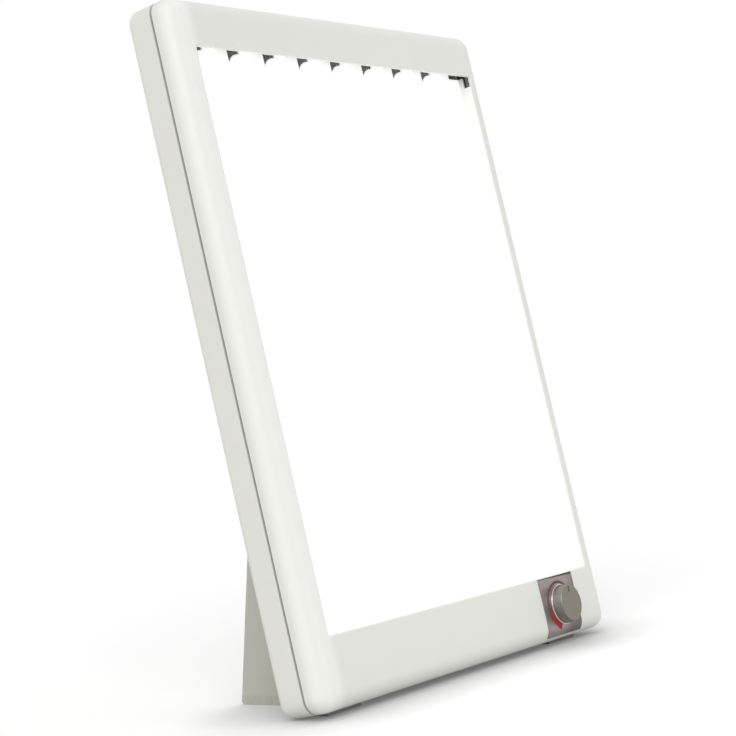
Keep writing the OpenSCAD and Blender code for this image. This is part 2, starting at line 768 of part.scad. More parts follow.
module dimmer_body() {
    top = casing_depth + plate_t + bush_up;
    color([0.25, 0.27, 0.3]) leaned() difference() {
        union() {
            post([knob_x, knob_y], dimmer_r, face_z - dimmer_h, face_z);
            post([knob_x, knob_y], bush_r, face_z - cut, top);
            for (i = [-1, 0, 1])
                translate([knob_x + i * dimmer_leg_pitch - dimmer_leg_w / 2, knob_y - dimmer_leg_t / 2,
                           face_z - dimmer_h - dimmer_leg_l])
                    cube([dimmer_leg_w, dimmer_leg_t, dimmer_leg_l + cut]);
        }
        post([knob_x, knob_y], shaft_r + pin_gap, face_z - shaft_sink, top + cut);
    }
}

module dimmer_nut() {
    z = casing_depth + plate_t;
    color([0.75, 0.76, 0.78]) leaned() difference() {
        translate([knob_x, knob_y, z]) cylinder(r = nut_r, h = nut_h, $fn = nut_sides);
        post([knob_x, knob_y], bush_r, z - cut, z + nut_h + cut);
    }
}

module dimmer_shaft() {
    color([0.72, 0.72, 0.7]) leaned()
        post([knob_x, knob_y], shaft_r, face_z - shaft_sink + run_gap, knob_z1 - knob_roof);
}

// Half section of the knob's outside: a short upright foot, a slight taper and a rounded rim
module knob_section() {
    foot = knob_d / 2;
    top = knob_face_d / 2;
    polygon(concat([[0, 0], [foot, 0], [foot, knob_foot_h]],
                   arc([top - knob_rim, knob_h - knob_rim], knob_rim, 0, 90),
                   [[0, knob_h]]));
}

module control_knob() {
    color([0.6, 0.61, 0.6]) leaned() translate([knob_x, knob_y, knob_z0]) difference() {
        rotate_extrude() knob_section();
        difference() {
            translate([0, 0, -cut]) cylinder(r = knob_hollow_r, h = knob_hollow_h + cut);
            translate([0, 0, knob_hub_z]) cylinder(r = knob_hub_r, h = knob_hollow_h);
        }
        translate([0, 0, -cut]) cylinder(r = shaft_r, h = knob_h - knob_roof + cut);
        translate([-pointer_w / 2, knob_face_d / 2 - knob_rim - pointer_in, knob_h - knob_face_step])
            cube([pointer_w, pointer_in + cut, knob_face_step + cut]);
    }
}

module grip_rail() {
    color([0.42, 0.43, 0.42]) leaned() difference() {
        union() {
            bar_x(row_x0, row_x1) {
                translate([rail_y0, screen_z]) square([rail_y1 - rail_y0, rail_t]);
                translate([rail_web_y, screen_back_z - rail_t]) square([rail_t, screen_t + 2 * rail_t]);
                translate([win_y1 - rail_lap, screen_back_z - rail_t])
                    square([rail_web_y + rail_t - win_y1 + rail_lap, rail_t]);
            }
            for (i = [0:grip_count]) {
                x = row_x0 + i * grip_pitch;
                x0 = max(row_x0, x - rail_lug_w / 2);
                x1 = min(row_x1, x + rail_lug_w / 2);
                rod_x(x0, x1, rod_y, rod_z, barrel_r);
                translate([x0, rod_y - barrel_r, screen_z]) cube([x1 - x0, 2 * barrel_r, rod_z - screen_z]);
            }
        }
        rod_x(row_x0 - cut, row_x1 + cut, rod_y, rod_z, rod_r);
        for (p = rail_posts()) post(p, screw_r, screen_z - cut, rail_z + cut);
    }
}

module grip_rod() {
    color([0.7, 0.71, 0.72]) leaned() rod_x(row_x0, row_x1, rod_y, rod_z, rod_r);
}

// Torsion spring beside each grip's barrel, with the leg that pushes on the rail
module grip_springs() {
    inner = rod_r + fit_gap;
    color([0.6, 0.6, 0.62]) leaned() for (i = [1:grip_count]) {
        x = grip_x(i) + neck_w / 2 + run_gap;
        difference() {
            rod_x(x, x + spring_w, rod_y, rod_z, inner + spring_wire);
            rod_x(x - cut, x + spring_w + cut, rod_y, rod_z, inner);
        }
        translate([x + spring_w - spring_wire, rod_y + inner, rail_z])
            cube([spring_wire, spring_wire, rod_z - rail_z]);
    }
}

// Tab outline: its upper edge slopes from a wide rounding on the left up to a tight one on the right
module grip_outline() {
    x0 = -grip_w / 2;
    x1 = grip_w / 2;
    top = 90 + grip_slope;
    run = grip_w - grip_square_r - grip_shoulder;
    low = [x0 + grip_shoulder, grip_y1 - grip_shoulder];
    high_up = (grip_shoulder - grip_square_r) / cos(grip_slope) + run * tan(grip_slope);
    polygon(concat(
        arc(low, grip_shoulder, top, 180),
        arc([x0 + grip_foot_r, grip_y0 + grip_foot_r], grip_foot_r, 180, 270),
        arc([x1 - grip_foot_r, grip_y0 + grip_foot_r], grip_foot_r, 270, 360),
        arc([x1 - grip_square_r, low[1] + high_up], grip_square_r, 0, top)));
}

module film_grip(i) {
    neck_y0 = grip_y1 - neck_lap;
    color([0.97, 0.97, 0.95]) leaned() translate([grip_x(i), 0, 0]) difference() {
        union() {
            translate([0, 0, grip_z0]) linear_extrude(grip_t) grip_outline();
            translate([0, 0, grip_pad_z]) linear_extrude(grip_z0 - grip_pad_z) intersection() {
                grip_outline();
                translate([-grip_w / 2, grip_y0]) square([grip_w, rail_y0 - 2 * run_gap - grip_y0]);
            }
            translate([-neck_w / 2, neck_y0, grip_z0]) cube([neck_w, rod_y - neck_y0, grip_t]);
            rod_x(-neck_w / 2, neck_w / 2, rod_y, rod_z, barrel_r);
        }
        rod_x(-neck_w / 2 - cut, neck_w / 2 + cut, rod_y, rod_z, rod_r + pin_gap);
    }
}

// Places its 2D children in a fin's plane while the fin stands open on the left, t thick
module in_fin_plane(t) {
    translate([-pin_x, 0, pin_z]) rotate([0, 90, 0]) translate([0, 0, -t / 2]) linear_extrude(t) children();
}

// Band just above the floor line, from the first point where a fin touches it
module floor_band(low, high) {
    start = (fin_floor_r - pin_z) / cos(lean);
    translate([pin_z, 0]) rotate(lean) translate([start, low]) square([fin_reach, high - low]);
}

module strip_rib(grow) {
    start = (fin_floor_r - pin_z) / cos(lean);
    translate([pin_z, 0]) rotate(lean) translate([start + strip_rib_in, strip_h - strip_rib_h])
        square([fin_reach - start - 2 * strip_rib_in, strip_rib_h + grow]);
}

module fin_body() {
    in_fin_plane(fin_t) difference() {
        fin_outline();
        floor_band(-cut, strip_h);
    }
    in_fin_plane(strip_rib_t) strip_rib(cut);
}

module stand_fin() {
    clear = fin_t / 2 + lug_clear;
    difference() {
        union() {
            fin_body();
            translate([-pin_x, fin_low, pin_z]) rotate([-90, 0, 0]) cylinder(r = fin_t / 2, h = fin_end_y - fin_low);
        }
        for (k = lug_y_shares)
            translate([-pin_x - clear, fin_y(k) - lug_w / 2 - run_gap, pin_z - clear])
                cube([2 * clear, lug_w + 2 * run_gap, 2 * clear]);
        translate([-pin_x, fin_low - cut, pin_z]) rotate([-90, 0, 0])
            cylinder(r = pin_r + pin_gap, h = fin_end_y - fin_low + 2 * cut);
    }
}

module stand_fin_left() {
    color([0.71, 0.71, 0.66]) leaned() stand_fin();
}

module stand_fin_right() {
    color([0.71, 0.71, 0.66]) leaned() mirror([1, 0, 0]) stand_fin();
}

module fin_pin() {
    translate([-pin_x, fin_low, pin_z]) rotate([-90, 0, 0]) cylinder(r = pin_r, h = fin_end_y - fin_low);
}

module fin_pin_left() {
    color([0.7, 0.71, 0.72]) leaned() fin_pin();
}

module fin_pin_right() {
    color([0.7, 0.71, 0.72]) leaned() mirror([1, 0, 0]) fin_pin();
}

module fin_strip() {
    difference() {
        in_fin_plane(fin_t) intersection() {
            fin_outline();
            floor_band(-cut, strip_h);
        }
        in_fin_plane(strip_rib_t) strip_rib(cut);
    }
}

module fin_strip_left() {
    color([0.62, 0.62, 0.57]) leaned() fin_strip();
}

module fin_strip_right() {
    color([0.62, 0.62, 0.57]) leaned() mirror([1, 0, 0]) fin_strip();
}

// Wedge of rubber with a push-in stem, its underside on the floor
module base_foot(x) {
    bar_x(x - foot_w / 2, x + foot_w / 2)
        polygon([[0, foot_z0], [0, foot_z1], [-foot_z1 * tan(lean), foot_z1], [-foot_z0 * tan(lean), foot_z0]]);
    translate([x, 0, (foot_z0 + foot_z1) / 2]) rotate([-90, 0, 0]) cylinder(r = stem_r, h = wall + stem_over);
}

module base_foot_left() {
    color([0.3, 0.3, 0.3]) leaned() base_foot(-foot_x);
}

module base_foot_right() {
    color([0.3, 0.3, 0.3]) leaned() base_foot(foot_x);
}

module case_screws() {
    shank = seam_z + case_screw_bite - case_screw_seat;
    color([0.75, 0.76, 0.78]) leaned() for (p = case_posts) screw(p, case_screw_seat, shank, head_h);
}

module tray_screws() {
    z = screen_back_z - tray_t;
    color([0.75, 0.76, 0.78]) leaned() for (p = tray_posts) screw(p, z, tray_t + tray_screw_bite, head_h);
}

module rail_screws() {
    z = screen_z;
    color([0.75, 0.76, 0.78]) leaned() for (p = rail_posts()) screw(p, z, rail_t + rail_screw_bite, head_h);
}

front_bezel();
rear_shell();
diffuser_screen();
reflector_tray();
for (i = [1:3]) {
    lamp_tubes(i);
    lamp_base(i);
    lamp_holder(i);
    lamp_cradle(i);
}
ballast();
terminal_block();
power_inlet();
inlet_pins();
inlet_screws();
control_plate();
dimmer_body();
dimmer_nut();
dimmer_shaft();
control_knob();
grip_rail();
grip_rod();
grip_springs();
for (i = [1:8]) {
    film_grip(i);
}
stand_fin_left();
stand_fin_right();
fin_pin_left();
fin_pin_right();
fin_strip_left();
fin_strip_right();
base_foot_left();
base_foot_right();
case_screws();
tray_screws();
rail_screws();
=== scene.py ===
"""Looks of a lit film viewer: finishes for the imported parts, soft-edged film grips, a turned knob
with its bright ring and its mark, the printed dial scale, and the floor, light and camera."""

import json
import math

import bpy
import numpy as np
from bpy.props import FloatProperty, FloatVectorProperty, PointerProperty
from mathutils import Matrix, Vector


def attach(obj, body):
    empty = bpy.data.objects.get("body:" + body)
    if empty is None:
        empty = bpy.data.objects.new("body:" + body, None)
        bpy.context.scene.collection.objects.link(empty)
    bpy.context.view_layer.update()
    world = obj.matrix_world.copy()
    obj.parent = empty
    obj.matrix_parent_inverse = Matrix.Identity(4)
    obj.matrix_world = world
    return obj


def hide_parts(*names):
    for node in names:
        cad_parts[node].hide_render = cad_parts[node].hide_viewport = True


bl_info = {
    "name": "Film viewer looks",
    "version": (1, 0, 0),
    "blender": (4, 5, 0),
    "location": "3D View > Sidebar > Film viewer",
    "description": "Dresses the packed film viewer with its finishes, printed scale, light and camera",
    "category": "Object",
}

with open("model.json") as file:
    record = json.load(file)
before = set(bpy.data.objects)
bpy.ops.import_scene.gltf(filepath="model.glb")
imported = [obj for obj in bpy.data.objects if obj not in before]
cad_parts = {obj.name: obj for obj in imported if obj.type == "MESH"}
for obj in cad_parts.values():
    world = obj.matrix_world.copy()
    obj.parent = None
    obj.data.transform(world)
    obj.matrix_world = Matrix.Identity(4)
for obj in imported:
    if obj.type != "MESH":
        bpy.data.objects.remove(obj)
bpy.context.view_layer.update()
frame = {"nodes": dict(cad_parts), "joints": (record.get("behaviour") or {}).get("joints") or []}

# The panel's own directions: across it, up it and out of its front, from the knob's joint
KNOB_JOINT = next(j for j in frame["joints"] if j["name"] == "knob_turn")
OUTWARD = Vector(KNOB_JOINT["axis"]).normalized()
ACROSS = Vector((1, 0, 0))
UPWARD = OUTWARD.cross(ACROSS)
BASIS = np.array([ACROSS, UPWARD, OUTWARD])
TILT = Matrix((ACROSS, UPWARD, OUTWARD)).transposed()

# The photograph's camera in the panel's frame: its place, the direction it looks in and its up direction, in
# metres, and its lens and sensor in millimetres
CAMERA_AT = (-1.26286, 0.09438, 0.91662)
CAMERA_LOOKS = (0.80516, 0.09609, -0.58522)
CAMERA_UP = (0.05621, 0.96998, 0.23661)
CAMERA_LENS = 96.86
CAMERA_SENSOR = 36

# The direction that the soft lamp shines from, the floor's half width, and how near to a piece its painted
# shade reaches
LAMP_FROM = (-0.66, -0.40, 0.60)
FLOOR_REACH = 30.0
FLOOR_CLOSE = 0.09

# Colour and shade of plain steel, and the colours of floor dust on the fins and on the feet
PLAIN_STEEL = ((0.6, 0.61, 0.62), (0.42, 0.43, 0.44))
FLOOR_DUST = (0.6, 0.6, 0.56)
FOOT_DUST = (0.4, 0.4, 0.37)

# Noise cells per metre along and across the brushing
STREAK_SCALE = (14.0, 1500.0, 1500.0)

# Sizes of the new pieces that the frame doesn't give
MM = 0.001

# Plate: its bend along the lower edge, and how far the print stands above it
PLATE_BEND_R = 12.8 * MM
PLATE_BEND_Y = 12 * MM
PRINT_RISE = 0.05 * MM

# Film grip: its tab, the pad that presses on the film, the neck and the hole for the rod
GRIPS = 8
TAB_DROP = 22 * MM
TAB_SLOPE = math.radians(7)
TAB_SHOULDER = 10 * MM
TAB_FOOT = 3 * MM
TAB_SQUARE = 1.5 * MM
TAB_EDGE = 0.5 * MM
TAB_SHEET = 2 * MM
PAD_SHEET = 1.2 * MM
PAD_DROP = 10.6 * MM
PAD_EDGE = 0.4 * MM
NECK_W = 14 * MM
NECK_LAP = 8 * MM
NECK_EDGE = 0.3 * MM
SMALL_CORNER = 1 * MM
ROD_HOLE_R = 1.55 * MM

# Knob cap: taper, foot, rim and dished face with its grooves, then the hollow, the hub and its bore
KNOB_TAPER = 1.5 * MM
KNOB_FOOT_IN = 0.5 * MM
KNOB_FOOT_H = 1.7 * MM
KNOB_RIM_R = 0.9 * MM
KNOB_DISH_IN = 1.6 * MM
KNOB_DISH = 0.3 * MM
GROOVES_R = (5.2 * MM, 8.2 * MM, 11.2 * MM)
GROOVE_W = 0.16 * MM
GROOVE_DEPTH = 0.18 * MM
AXIS_FLAT_R = 0.4 * MM
HOLLOW_R = 10 * MM
HOLLOW_LOW = 0.1 * MM
HOLLOW_TOP = 7 * MM
HUB_R = 5 * MM
HUB_LOW = 2.9 * MM
BORE_R = 3 * MM
KNOB_SMOOTH_DEG = 30

# Knob's ring, which reaches below its foot, and the mark on its face
RING_W = 0.9 * MM
RING_BELOW = 0.5 * MM
RING_EDGE = 0.35 * MM
MARK_W = 1.8 * MM
MARK_L = 5 * MM
MARK_IN = 1.2 * MM
MARK_EDGE = 0.2 * MM
MARK_CORNER = 0.4 * MM
MARK_DEPTH = 0.6 * MM

# Scale: the power by which its width grows, and its end dot with its place from the knob's axis
SCALE_GROWTH = 2.5
DOT_AT = (10.2 * MM, -15.2 * MM)
DOT_R = 1.2 * MM
DOT_SHARE = 0.74

# Painted highlight along the left bezel, where it starts and where the plain enamel returns, inwards from the
# front shell's left side; painted shade near the seam, forwards from its back edge
PAINTED_HIGHLIGHT_FROM, PAINTED_HIGHLIGHT_TO = 28 * MM, 17 * MM
HIGHLIGHT_END_FROM, HIGHLIGHT_END_TO = 12 * MM, 4 * MM
SEAM_SHADE_FROM, SEAM_SHADE_TO = 9 * MM, 1 * MM

# Depth of the reveal behind the front shell, and the soft start and end about it of the painted shade line in
# the reveal
REVEAL_BACK = 2 * MM
REVEAL_START, REVEAL_END = -0.05 * MM, 0.15 * MM

# Plate: its painted shadow from the knob, darker to the lower right, as a slope and its start and end past
# the knob's axis, and the painted shade line at its top, as a slope and its start and end below the top
PLATE_SHADOW_SLOPE = 0.5
PLATE_SHADOW_FROM, PLATE_SHADOW_TO = 2 * MM, 26 * MM
TOP_SHADE_SLOPE = 0.02
TOP_SHADE_FROM, TOP_SHADE_TO = 1.6 * MM, 0.6 * MM

# Knob's face colour starts and ends this far below its top
FACE_FROM, FACE_TO = 1.0 * MM, 0.5 * MM


def points_of(node):
    """The points of a CAD node, as rows."""
    mesh = frame["nodes"][node].data
    co = np.zeros(len(mesh.vertices) * 3, np.float32)
    mesh.vertices.foreach_get("co", co)
    return co.reshape(-1, 3).astype(float)


CASING_LOW = (points_of("rear_shell") @ BASIS.T).min(0)
ORIGIN = np.array([0.0, CASING_LOW[1], CASING_LOW[2]])


def to_panel(points):
    """Points as (across, up, out) from the casing's lower back edge: their products with the panel's
    directions, less the edge's own."""
    return np.asarray(points) @ BASIS.T - ORIGIN


def from_panel(points):
    """Points given as (across, up, out) from the casing's lower back edge, back in the shared frame."""
    return (np.asarray(points) + ORIGIN) @ BASIS


def panel_box(node):
    """Lowest and highest corner of a CAD node along the panel's own directions."""
    co = to_panel(points_of(node))
    return co.min(0), co.max(0)


KNOB_AT = to_panel(np.array(KNOB_JOINT["pos_m"]))
KNOB_AXIS = (KNOB_AT[0], KNOB_AT[1], 0)


# Sizes and colours that a user would change


def colour(name, default, text):
    return FloatVectorProperty(name=name, description=text, default=default, size=3, min=0, max=1,
                               subtype="COLOR")


def number(name, default, low, high, text, **kind):
    return FloatProperty(name=name, description=text, default=default, min=low, max=high, **kind)


def length_mm(name, default, low, high, text):
    return number(name, default * MM, low * MM, high * MM, text, unit="LENGTH")


def angle_deg(name, default, low, high, text):
    return number(name, *(math.radians(a) for a in (default, low, high)), text, subtype="ANGLE")


class ViewerColours(bpy.types.PropertyGroup):
    front: colour("Front shell", (0.83, 0.84, 0.79), "Enamelled front shell")
    # Painted highlight: the brighter colour of the front shell along its left bezel
    lit: colour("Left bezel", (0.94, 0.945, 0.90), "Front shell along its left bezel")
    rear: colour("Rear shell", (0.75, 0.75, 0.70), "Moulded rear shell")
    stand: colour("Stand fins", (0.49, 0.49, 0.42), "Moulded fins of the stand")
    grip: colour("Film grips", (0.86, 0.86, 0.85), "White tabs that hold the film")
    plate: colour("Control plate", (0.36, 0.31, 0.31), "Brushed metal plate under the knob")
    knob: colour("Knob", (0.25, 0.26, 0.23), "Turned side of the knob")
    face: colour("Knob face", (0.23, 0.215, 0.175), "Turned face of the knob")
    ring: colour("Knob ring", (0.88, 0.79, 0.77), "Bright ring round the knob's foot")
    scale_thin: colour("Scale, thin end", (0.14, 0.07, 0.062), "Printed scale where it starts")
    scale_thick: colour("Scale, thick end", (0.40, 0.017, 0.026), "Printed scale where it is widest")
    rubber: colour("Rubber", (0.50, 0.50, 0.48), "Feet under the casing")
    # Painted shade in the reveal between the two shells
    reveal: colour("Reveal", (0.10, 0.095, 0.085), "Dark line between the two shells")
    strip: colour("Fin strip", (0.45, 0.45, 0.385), "Soft strip under each fin")


class ViewerSizes(bpy.types.PropertyGroup):
    scale_r: length_mm("Scale radius", 18.7, 15, 25, "Radius of the printed scale's middle line")
    scale_thin: length_mm("Scale start width", 2.3, 0.1, 4, "Width of the scale's thin end")
    scale_thick: length_mm("Scale end width", 4.6, 0.5, 6, "Width of the scale's thick end")
    scale_from: angle_deg("Scale start", 45, 0, 180, "Angle at which the scale starts")
    scale_to: angle_deg("Scale end", 252, 180, 360, "Angle at which the scale ends")
    grain: length_mm("Mould grain", 0.05, 0, 1, "Depth of the moulded parts' fine grain")


class ViewerLight(bpy.types.PropertyGroup):
    sky: number("Sky", 0.56, 0, 2, "Strength of the even light from all round")
    sun: number("Sun", 1.35, 0, 10, "Strength of the soft lamp from the left front")
    sun_size: angle_deg("Sun size", 50, 0, 180, "Angle that the soft lamp fills")
    glow: number("Screen glow", 0.72, 0, 5, "Light that the screen sends out")


# Node trees


def node(tree, kind, values=None, **settings):
    """Adds a node with the values of its sockets and its settings."""
    made = tree.nodes.new("ShaderNode" + kind)
    for key, value in settings.items():
        setattr(made, key, value)
    for key, value in (values or {}).items():
        made.inputs[key].default_value = value
    return made


def maths(tree, operation, values=None, kind="Math"):
    """Adds a calculating node, Math or VectorMath."""
    return node(tree, kind, values, operation=operation)


def join(tree, *links):
    """Links sockets, each link a (node, output, node, input)."""
    for source, output, target, socket in links:
        tree.links.new(source.outputs[output], target.inputs[socket])


def start_group(name, inputs, outputs):
    """A node group with named sockets. It takes Vector and the inputs, each with its default, which is a
    number, a direction, or None for a colour. Of its outputs, Colour is a colour, the rest are numbers."""
    tree = bpy.data.node_groups.new(name, "ShaderNodeTree")
    for label, default in {"Vector": (0, 0, 0), **inputs}.items():
        kind = "Color" if default is None else "Vector" if isinstance(default, tuple) else "Float"
        socket = tree.interface.new_socket(name=label, in_out="INPUT", socket_type="NodeSocket" + kind)
        if default is not None:
            socket.default_value = default
    for label in outputs:
        kind = "Color" if label == "Colour" else "Float"
        tree.interface.new_socket(name=label, in_out="OUTPUT", socket_type="NodeSocket" + kind)
    return tree, tree.nodes.new("NodeGroupInput"), tree.nodes.new("NodeGroupOutput")


def place(tree, name, values, vector):
    """Puts a node group into a material, with its values and coordinates."""
    made = tree.nodes.new("ShaderNodeGroup")
    made.node_tree = bpy.data.node_groups[name]
    for key, value in values.items():
        made.inputs[key].default_value = (*value, 1) if made.inputs[key].type == "RGBA" else value
    tree.links.new(vector, made.inputs["Vector"])
    return made


def mix_shade(tree, i, o, source, output):
    """Mixes a group's Colour into its Shade by the output of a node."""
    mix = node(tree, "MixRGB")
    join(tree, (source, output, mix, "Fac"), (i, "Colour", mix, "Color1"), (i, "Shade", mix, "Color2"),
         (mix, "Color", o, "Colour"))


def group_mottle():
    """Slow change of tone: noise at Scale, stretched to 0..1, mixes Colour towards Shade by up to Amount."""
    tree, i, o = start_group("slow_mottle", {"Colour": None, "Shade": None, "Scale": 9.0, "Amount": 0.5},
                             ["Colour"])
    noise = node(tree, "TexNoise", {"Detail": 4.0, "Roughness": 0.55, "Distortion": 0.3})
    level = node(tree, "MapRange", {"From Min": 0.36, "From Max": 0.64})
    join(tree, (i, "Vector", noise, "Vector"), (i, "Scale", noise, "Scale"), (noise, "Fac", level, "Value"),
         (i, "Amount", level, "To Max"))
    mix_shade(tree, i, o, level, "Result")


def group_grain():
    """Fine mould grain: fine noise plus half as much of finer cell noise, times Depth."""
    tree, i, o = start_group("mould_grain", {"Scale": 1400.0, "Depth": 0.00005}, ["Height"])
    noise = node(tree, "TexNoise", {"Detail": 2.0, "Roughness": 0.6})
    cells = node(tree, "TexVoronoi", {"Smoothness": 0.8}, feature="SMOOTH_F1")
    finer = maths(tree, "MULTIPLY", {1: 1.7})
    both = maths(tree, "MULTIPLY_ADD", {1: 0.5})
    depth = maths(tree, "MULTIPLY")
    join(tree, (i, "Vector", noise, "Vector"), (i, "Scale", noise, "Scale"), (i, "Vector", cells, "Vector"),
         (i, "Scale", finer, 0), (finer, "Value", cells, "Scale"), (cells, "Distance", both, 0),
         (noise, "Fac", both, 2), (both, "Value", depth, 0), (i, "Depth", depth, 1),
         (depth, "Value", o, "Height"))


def group_handled():
    """Wiped and handled gloss: stretched noise moves Roughness up and down by half of Spread."""
    tree, i, o = start_group("handled_gloss", {"Scale": 24.0, "Roughness": 0.4, "Spread": 0.12},
                             ["Roughness"])
    noise = node(tree, "TexNoise", {"Detail": 6.0, "Roughness": 0.6, "Distortion": 0.8})
    level = node(tree, "MapRange", {"From Min": 0.3, "From Max": 0.7, "To Min": -0.5, "To Max": 0.5})
    scaled = maths(tree, "MULTIPLY_ADD")
    join(tree, (i, "Vector", noise, "Vector"), (i, "Scale", noise, "Scale"), (noise, "Fac", level, "Value"),
         (level, "Result", scaled, 0), (i, "Spread", scaled, 1), (i, "Roughness", scaled, 2),
         (scaled, "Value", o, "Roughness"))


def start_metal_group(name):
    """A node group with the sockets of a bare metal."""
    return start_group(name, {"Colour": None, "Shade": None, "Roughness": 0.3, "Spread": 0.15,
                              "Depth": 0.00002}, ["Colour", "Roughness", "Height"])


def metal_marks(tree, i, o, noise):
    """Finishes a metal group: the noise, stretched to 0..1, mixes Colour into Shade and adds up to Spread to
    Roughness, and the noise times Depth is the height."""
    level = node(tree, "MapRange", {"From Min": 0.32, "From Max": 0.68})
    gloss = maths(tree, "MULTIPLY_ADD")
    depth = maths(tree, "MULTIPLY")
    join(tree, (noise, "Fac", level, "Value"), (level, "Result", gloss, 0), (i, "Spread", gloss, 1),
         (i, "Roughness", gloss, 2), (gloss, "Value", o, "Roughness"), (noise, "Fac", depth, 0),
         (i, "Depth", depth, 1), (depth, "Value", o, "Height"))
    mix_shade(tree, i, o, level, "Result")


def group_brushed():
    """Brushed sheet: noise squeezed across the brushing and drawn out along it gives streaks of tone,
    gloss and height. Vector's first direction is the brushing's."""
    tree, i, o = start_metal_group("brushed")
    drawn = maths(tree, "MULTIPLY", {1: STREAK_SCALE}, "VectorMath")
    streaks = node(tree, "TexNoise", {"Scale": 1.0, "Detail": 5.0, "Roughness": 0.65})
    join(tree, (i, "Vector", drawn, 0), (drawn, "Vector", streaks, "Vector"))
    metal_marks(tree, i, o, streaks)


def group_turned():
    """Turned metal: the distance from Vector's third axis plus the third coordinate drives one-way noise, so
    that the tool's fine rings run round the piece."""
    tree, i, o = start_metal_group("turned")
    flat = maths(tree, "MULTIPLY", {1: (1.0, 1.0, 0.0)}, "VectorMath")
    reach = maths(tree, "LENGTH", kind="VectorMath")
    parts = node(tree, "SeparateXYZ")
    total = maths(tree, "ADD")
    rings = node(tree, "TexNoise", {"Scale": 1800.0, "Detail": 4.0}, noise_dimensions="1D")
    join(tree, (i, "Vector", flat, 0), (flat, "Vector", reach, 0), (i, "Vector", parts, "Vector"),
         (reach, "Value", total, 0), (parts, "Z", total, 1), (total, "Value", rings, "W"))
    metal_marks(tree, i, o, rings)


def group_ends():
    """Ends of a long piece: Colour mixes into Shade while the size of Vector's second coordinate goes from
    Clear to 1."""
    tree, i, o = start_group("darker_ends", {"Colour": None, "Shade": None, "Clear": 0.8}, ["Colour"])
    parts = node(tree, "SeparateXYZ")
    size = maths(tree, "ABSOLUTE")
    level = node(tree, "MapRange", {"From Max": 1.0}, interpolation_type="SMOOTHSTEP")
    join(tree, (i, "Vector", parts, "Vector"), (parts, "Y", size, 0), (size, "Value", level, "Value"),
         (i, "Clear", level, "From Min"))
    mix_shade(tree, i, o, level, "Result")


def group_edge():
    """Change of tone along a line: the product of Vector and Direction, from Start to End, mixes Colour into
    Shade."""
    tree, i, o = start_group("edge_shade", {"Direction": (0, 1, 0), "Colour": None, "Shade": None,
                                            "Start": 0.0, "End": 1.0}, ["Colour"])
    reach = maths(tree, "DOT_PRODUCT", kind="VectorMath")
    level = node(tree, "MapRange", interpolation_type="SMOOTHSTEP")
    join(tree, (i, "Vector", reach, 0), (i, "Direction", reach, 1), (reach, "Value", level, "Value"),
         (i, "Start", level, "From Min"), (i, "End", level, "From Max"))
    mix_shade(tree, i, o, level, "Result")


def group_glow():
    """Glow behind the opal screen: Vector runs from -1 to 1 over the screen. It is Edge at the left side
    and rises smoothly to 1 over Reach, and it loses Dip times the squared distance from the middle."""
    tree, i, o = start_group("screen_glow", {"Edge": None, "Reach": 0.4, "Dip": 0.06}, ["Colour"])
    parts = node(tree, "SeparateXYZ")
    end = maths(tree, "SUBTRACT", {1: 1.0})
    rise = node(tree, "MapRange", {"From Min": -1.0}, interpolation_type="SMOOTHSTEP")
    mix = node(tree, "MixRGB", {"Color2": (1, 1, 1, 1)})
    squares = maths(tree, "DOT_PRODUCT", kind="VectorMath")
    dip = maths(tree, "MULTIPLY")
    keep = maths(tree, "SUBTRACT", {0: 1.0})
    both = node(tree, "MixRGB", {"Fac": 1.0}, blend_type="MULTIPLY")
    join(tree, (i, "Vector", parts, "Vector"), (i, "Reach", end, 0), (end, "Value", rise, "From Max"),
         (parts, "X", rise, "Value"), (rise, "Result", mix, "Fac"), (i, "Edge", mix, "Color1"),
         (i, "Vector", squares, 0), (i, "Vector", squares, 1), (squares, "Value", dip, 0), (i, "Dip", dip, 1),
         (dip, "Value", keep, 1), (mix, "Color", both, "Color1"), (keep, "Value", both, "Color2"),
         (both, "Color", o, "Colour"))


def group_dust():
    """Floor dust: strongest at Vector's lowest third coordinate and gone at Height, broken up by noise; it
    mixes Colour into Shade, the dust's colour."""
    tree, i, o = start_group("floor_dust", {"Colour": None, "Shade": None, "Height": 0.02}, ["Colour"])
    parts = node(tree, "SeparateXYZ")
    fade = node(tree, "MapRange", {"To Min": 0.6, "To Max": 0.0})
    noise = node(tree, "TexNoise", {"Scale": 160.0, "Detail": 5.0})
    broken = maths(tree, "MULTIPLY")
    join(tree, (i, "Vector", parts, "Vector"), (parts, "Z", fade, "Value"), (i, "Height", fade, "From Max"),
         (i, "Vector", noise, "Vector"), (fade, "Result", broken, 0), (noise, "Fac", broken, 1))
    mix_shade(tree, i, o, broken, "Value")


def build_groups():
    for make in (group_mottle, group_grain, group_handled, group_brushed, group_turned, group_ends,
                 group_edge, group_glow, group_dust):
        make()


# Materials


def start_material(name, values):
    """A material with its Principled shader set to the given values; returns its tree, the shader and the
    Object coordinates."""
    material = bpy.data.materials.new(name)
    material.use_nodes = True
    tree = material.node_tree
    shader = tree.nodes["Principled BSDF"]
    for key, value in values.items():
        shader.inputs[key].default_value = value
    coordinates = node(tree, "TexCoord")
    return material, tree, shader, coordinates.outputs["Object"]


def panel_vector(tree, coordinates, centre=(0, 0, 0), half=(1, 1, 1), turn=0.0):
    """Object coordinates in the panel's directions about a centre given in the panel's frame, divided by the
    half sizes, and turned by an angle about the panel's normal."""
    rotation = (TILT @ Matrix.Rotation(turn, 3, "Z")).to_euler()
    mapping = node(tree, "Mapping", {"Location": tuple(from_panel(np.array(centre, float))),
                                     "Rotation": rotation, "Scale": half}, vector_type="TEXTURE")
    tree.links.new(coordinates, mapping.inputs["Vector"])
    return mapping.outputs["Vector"]


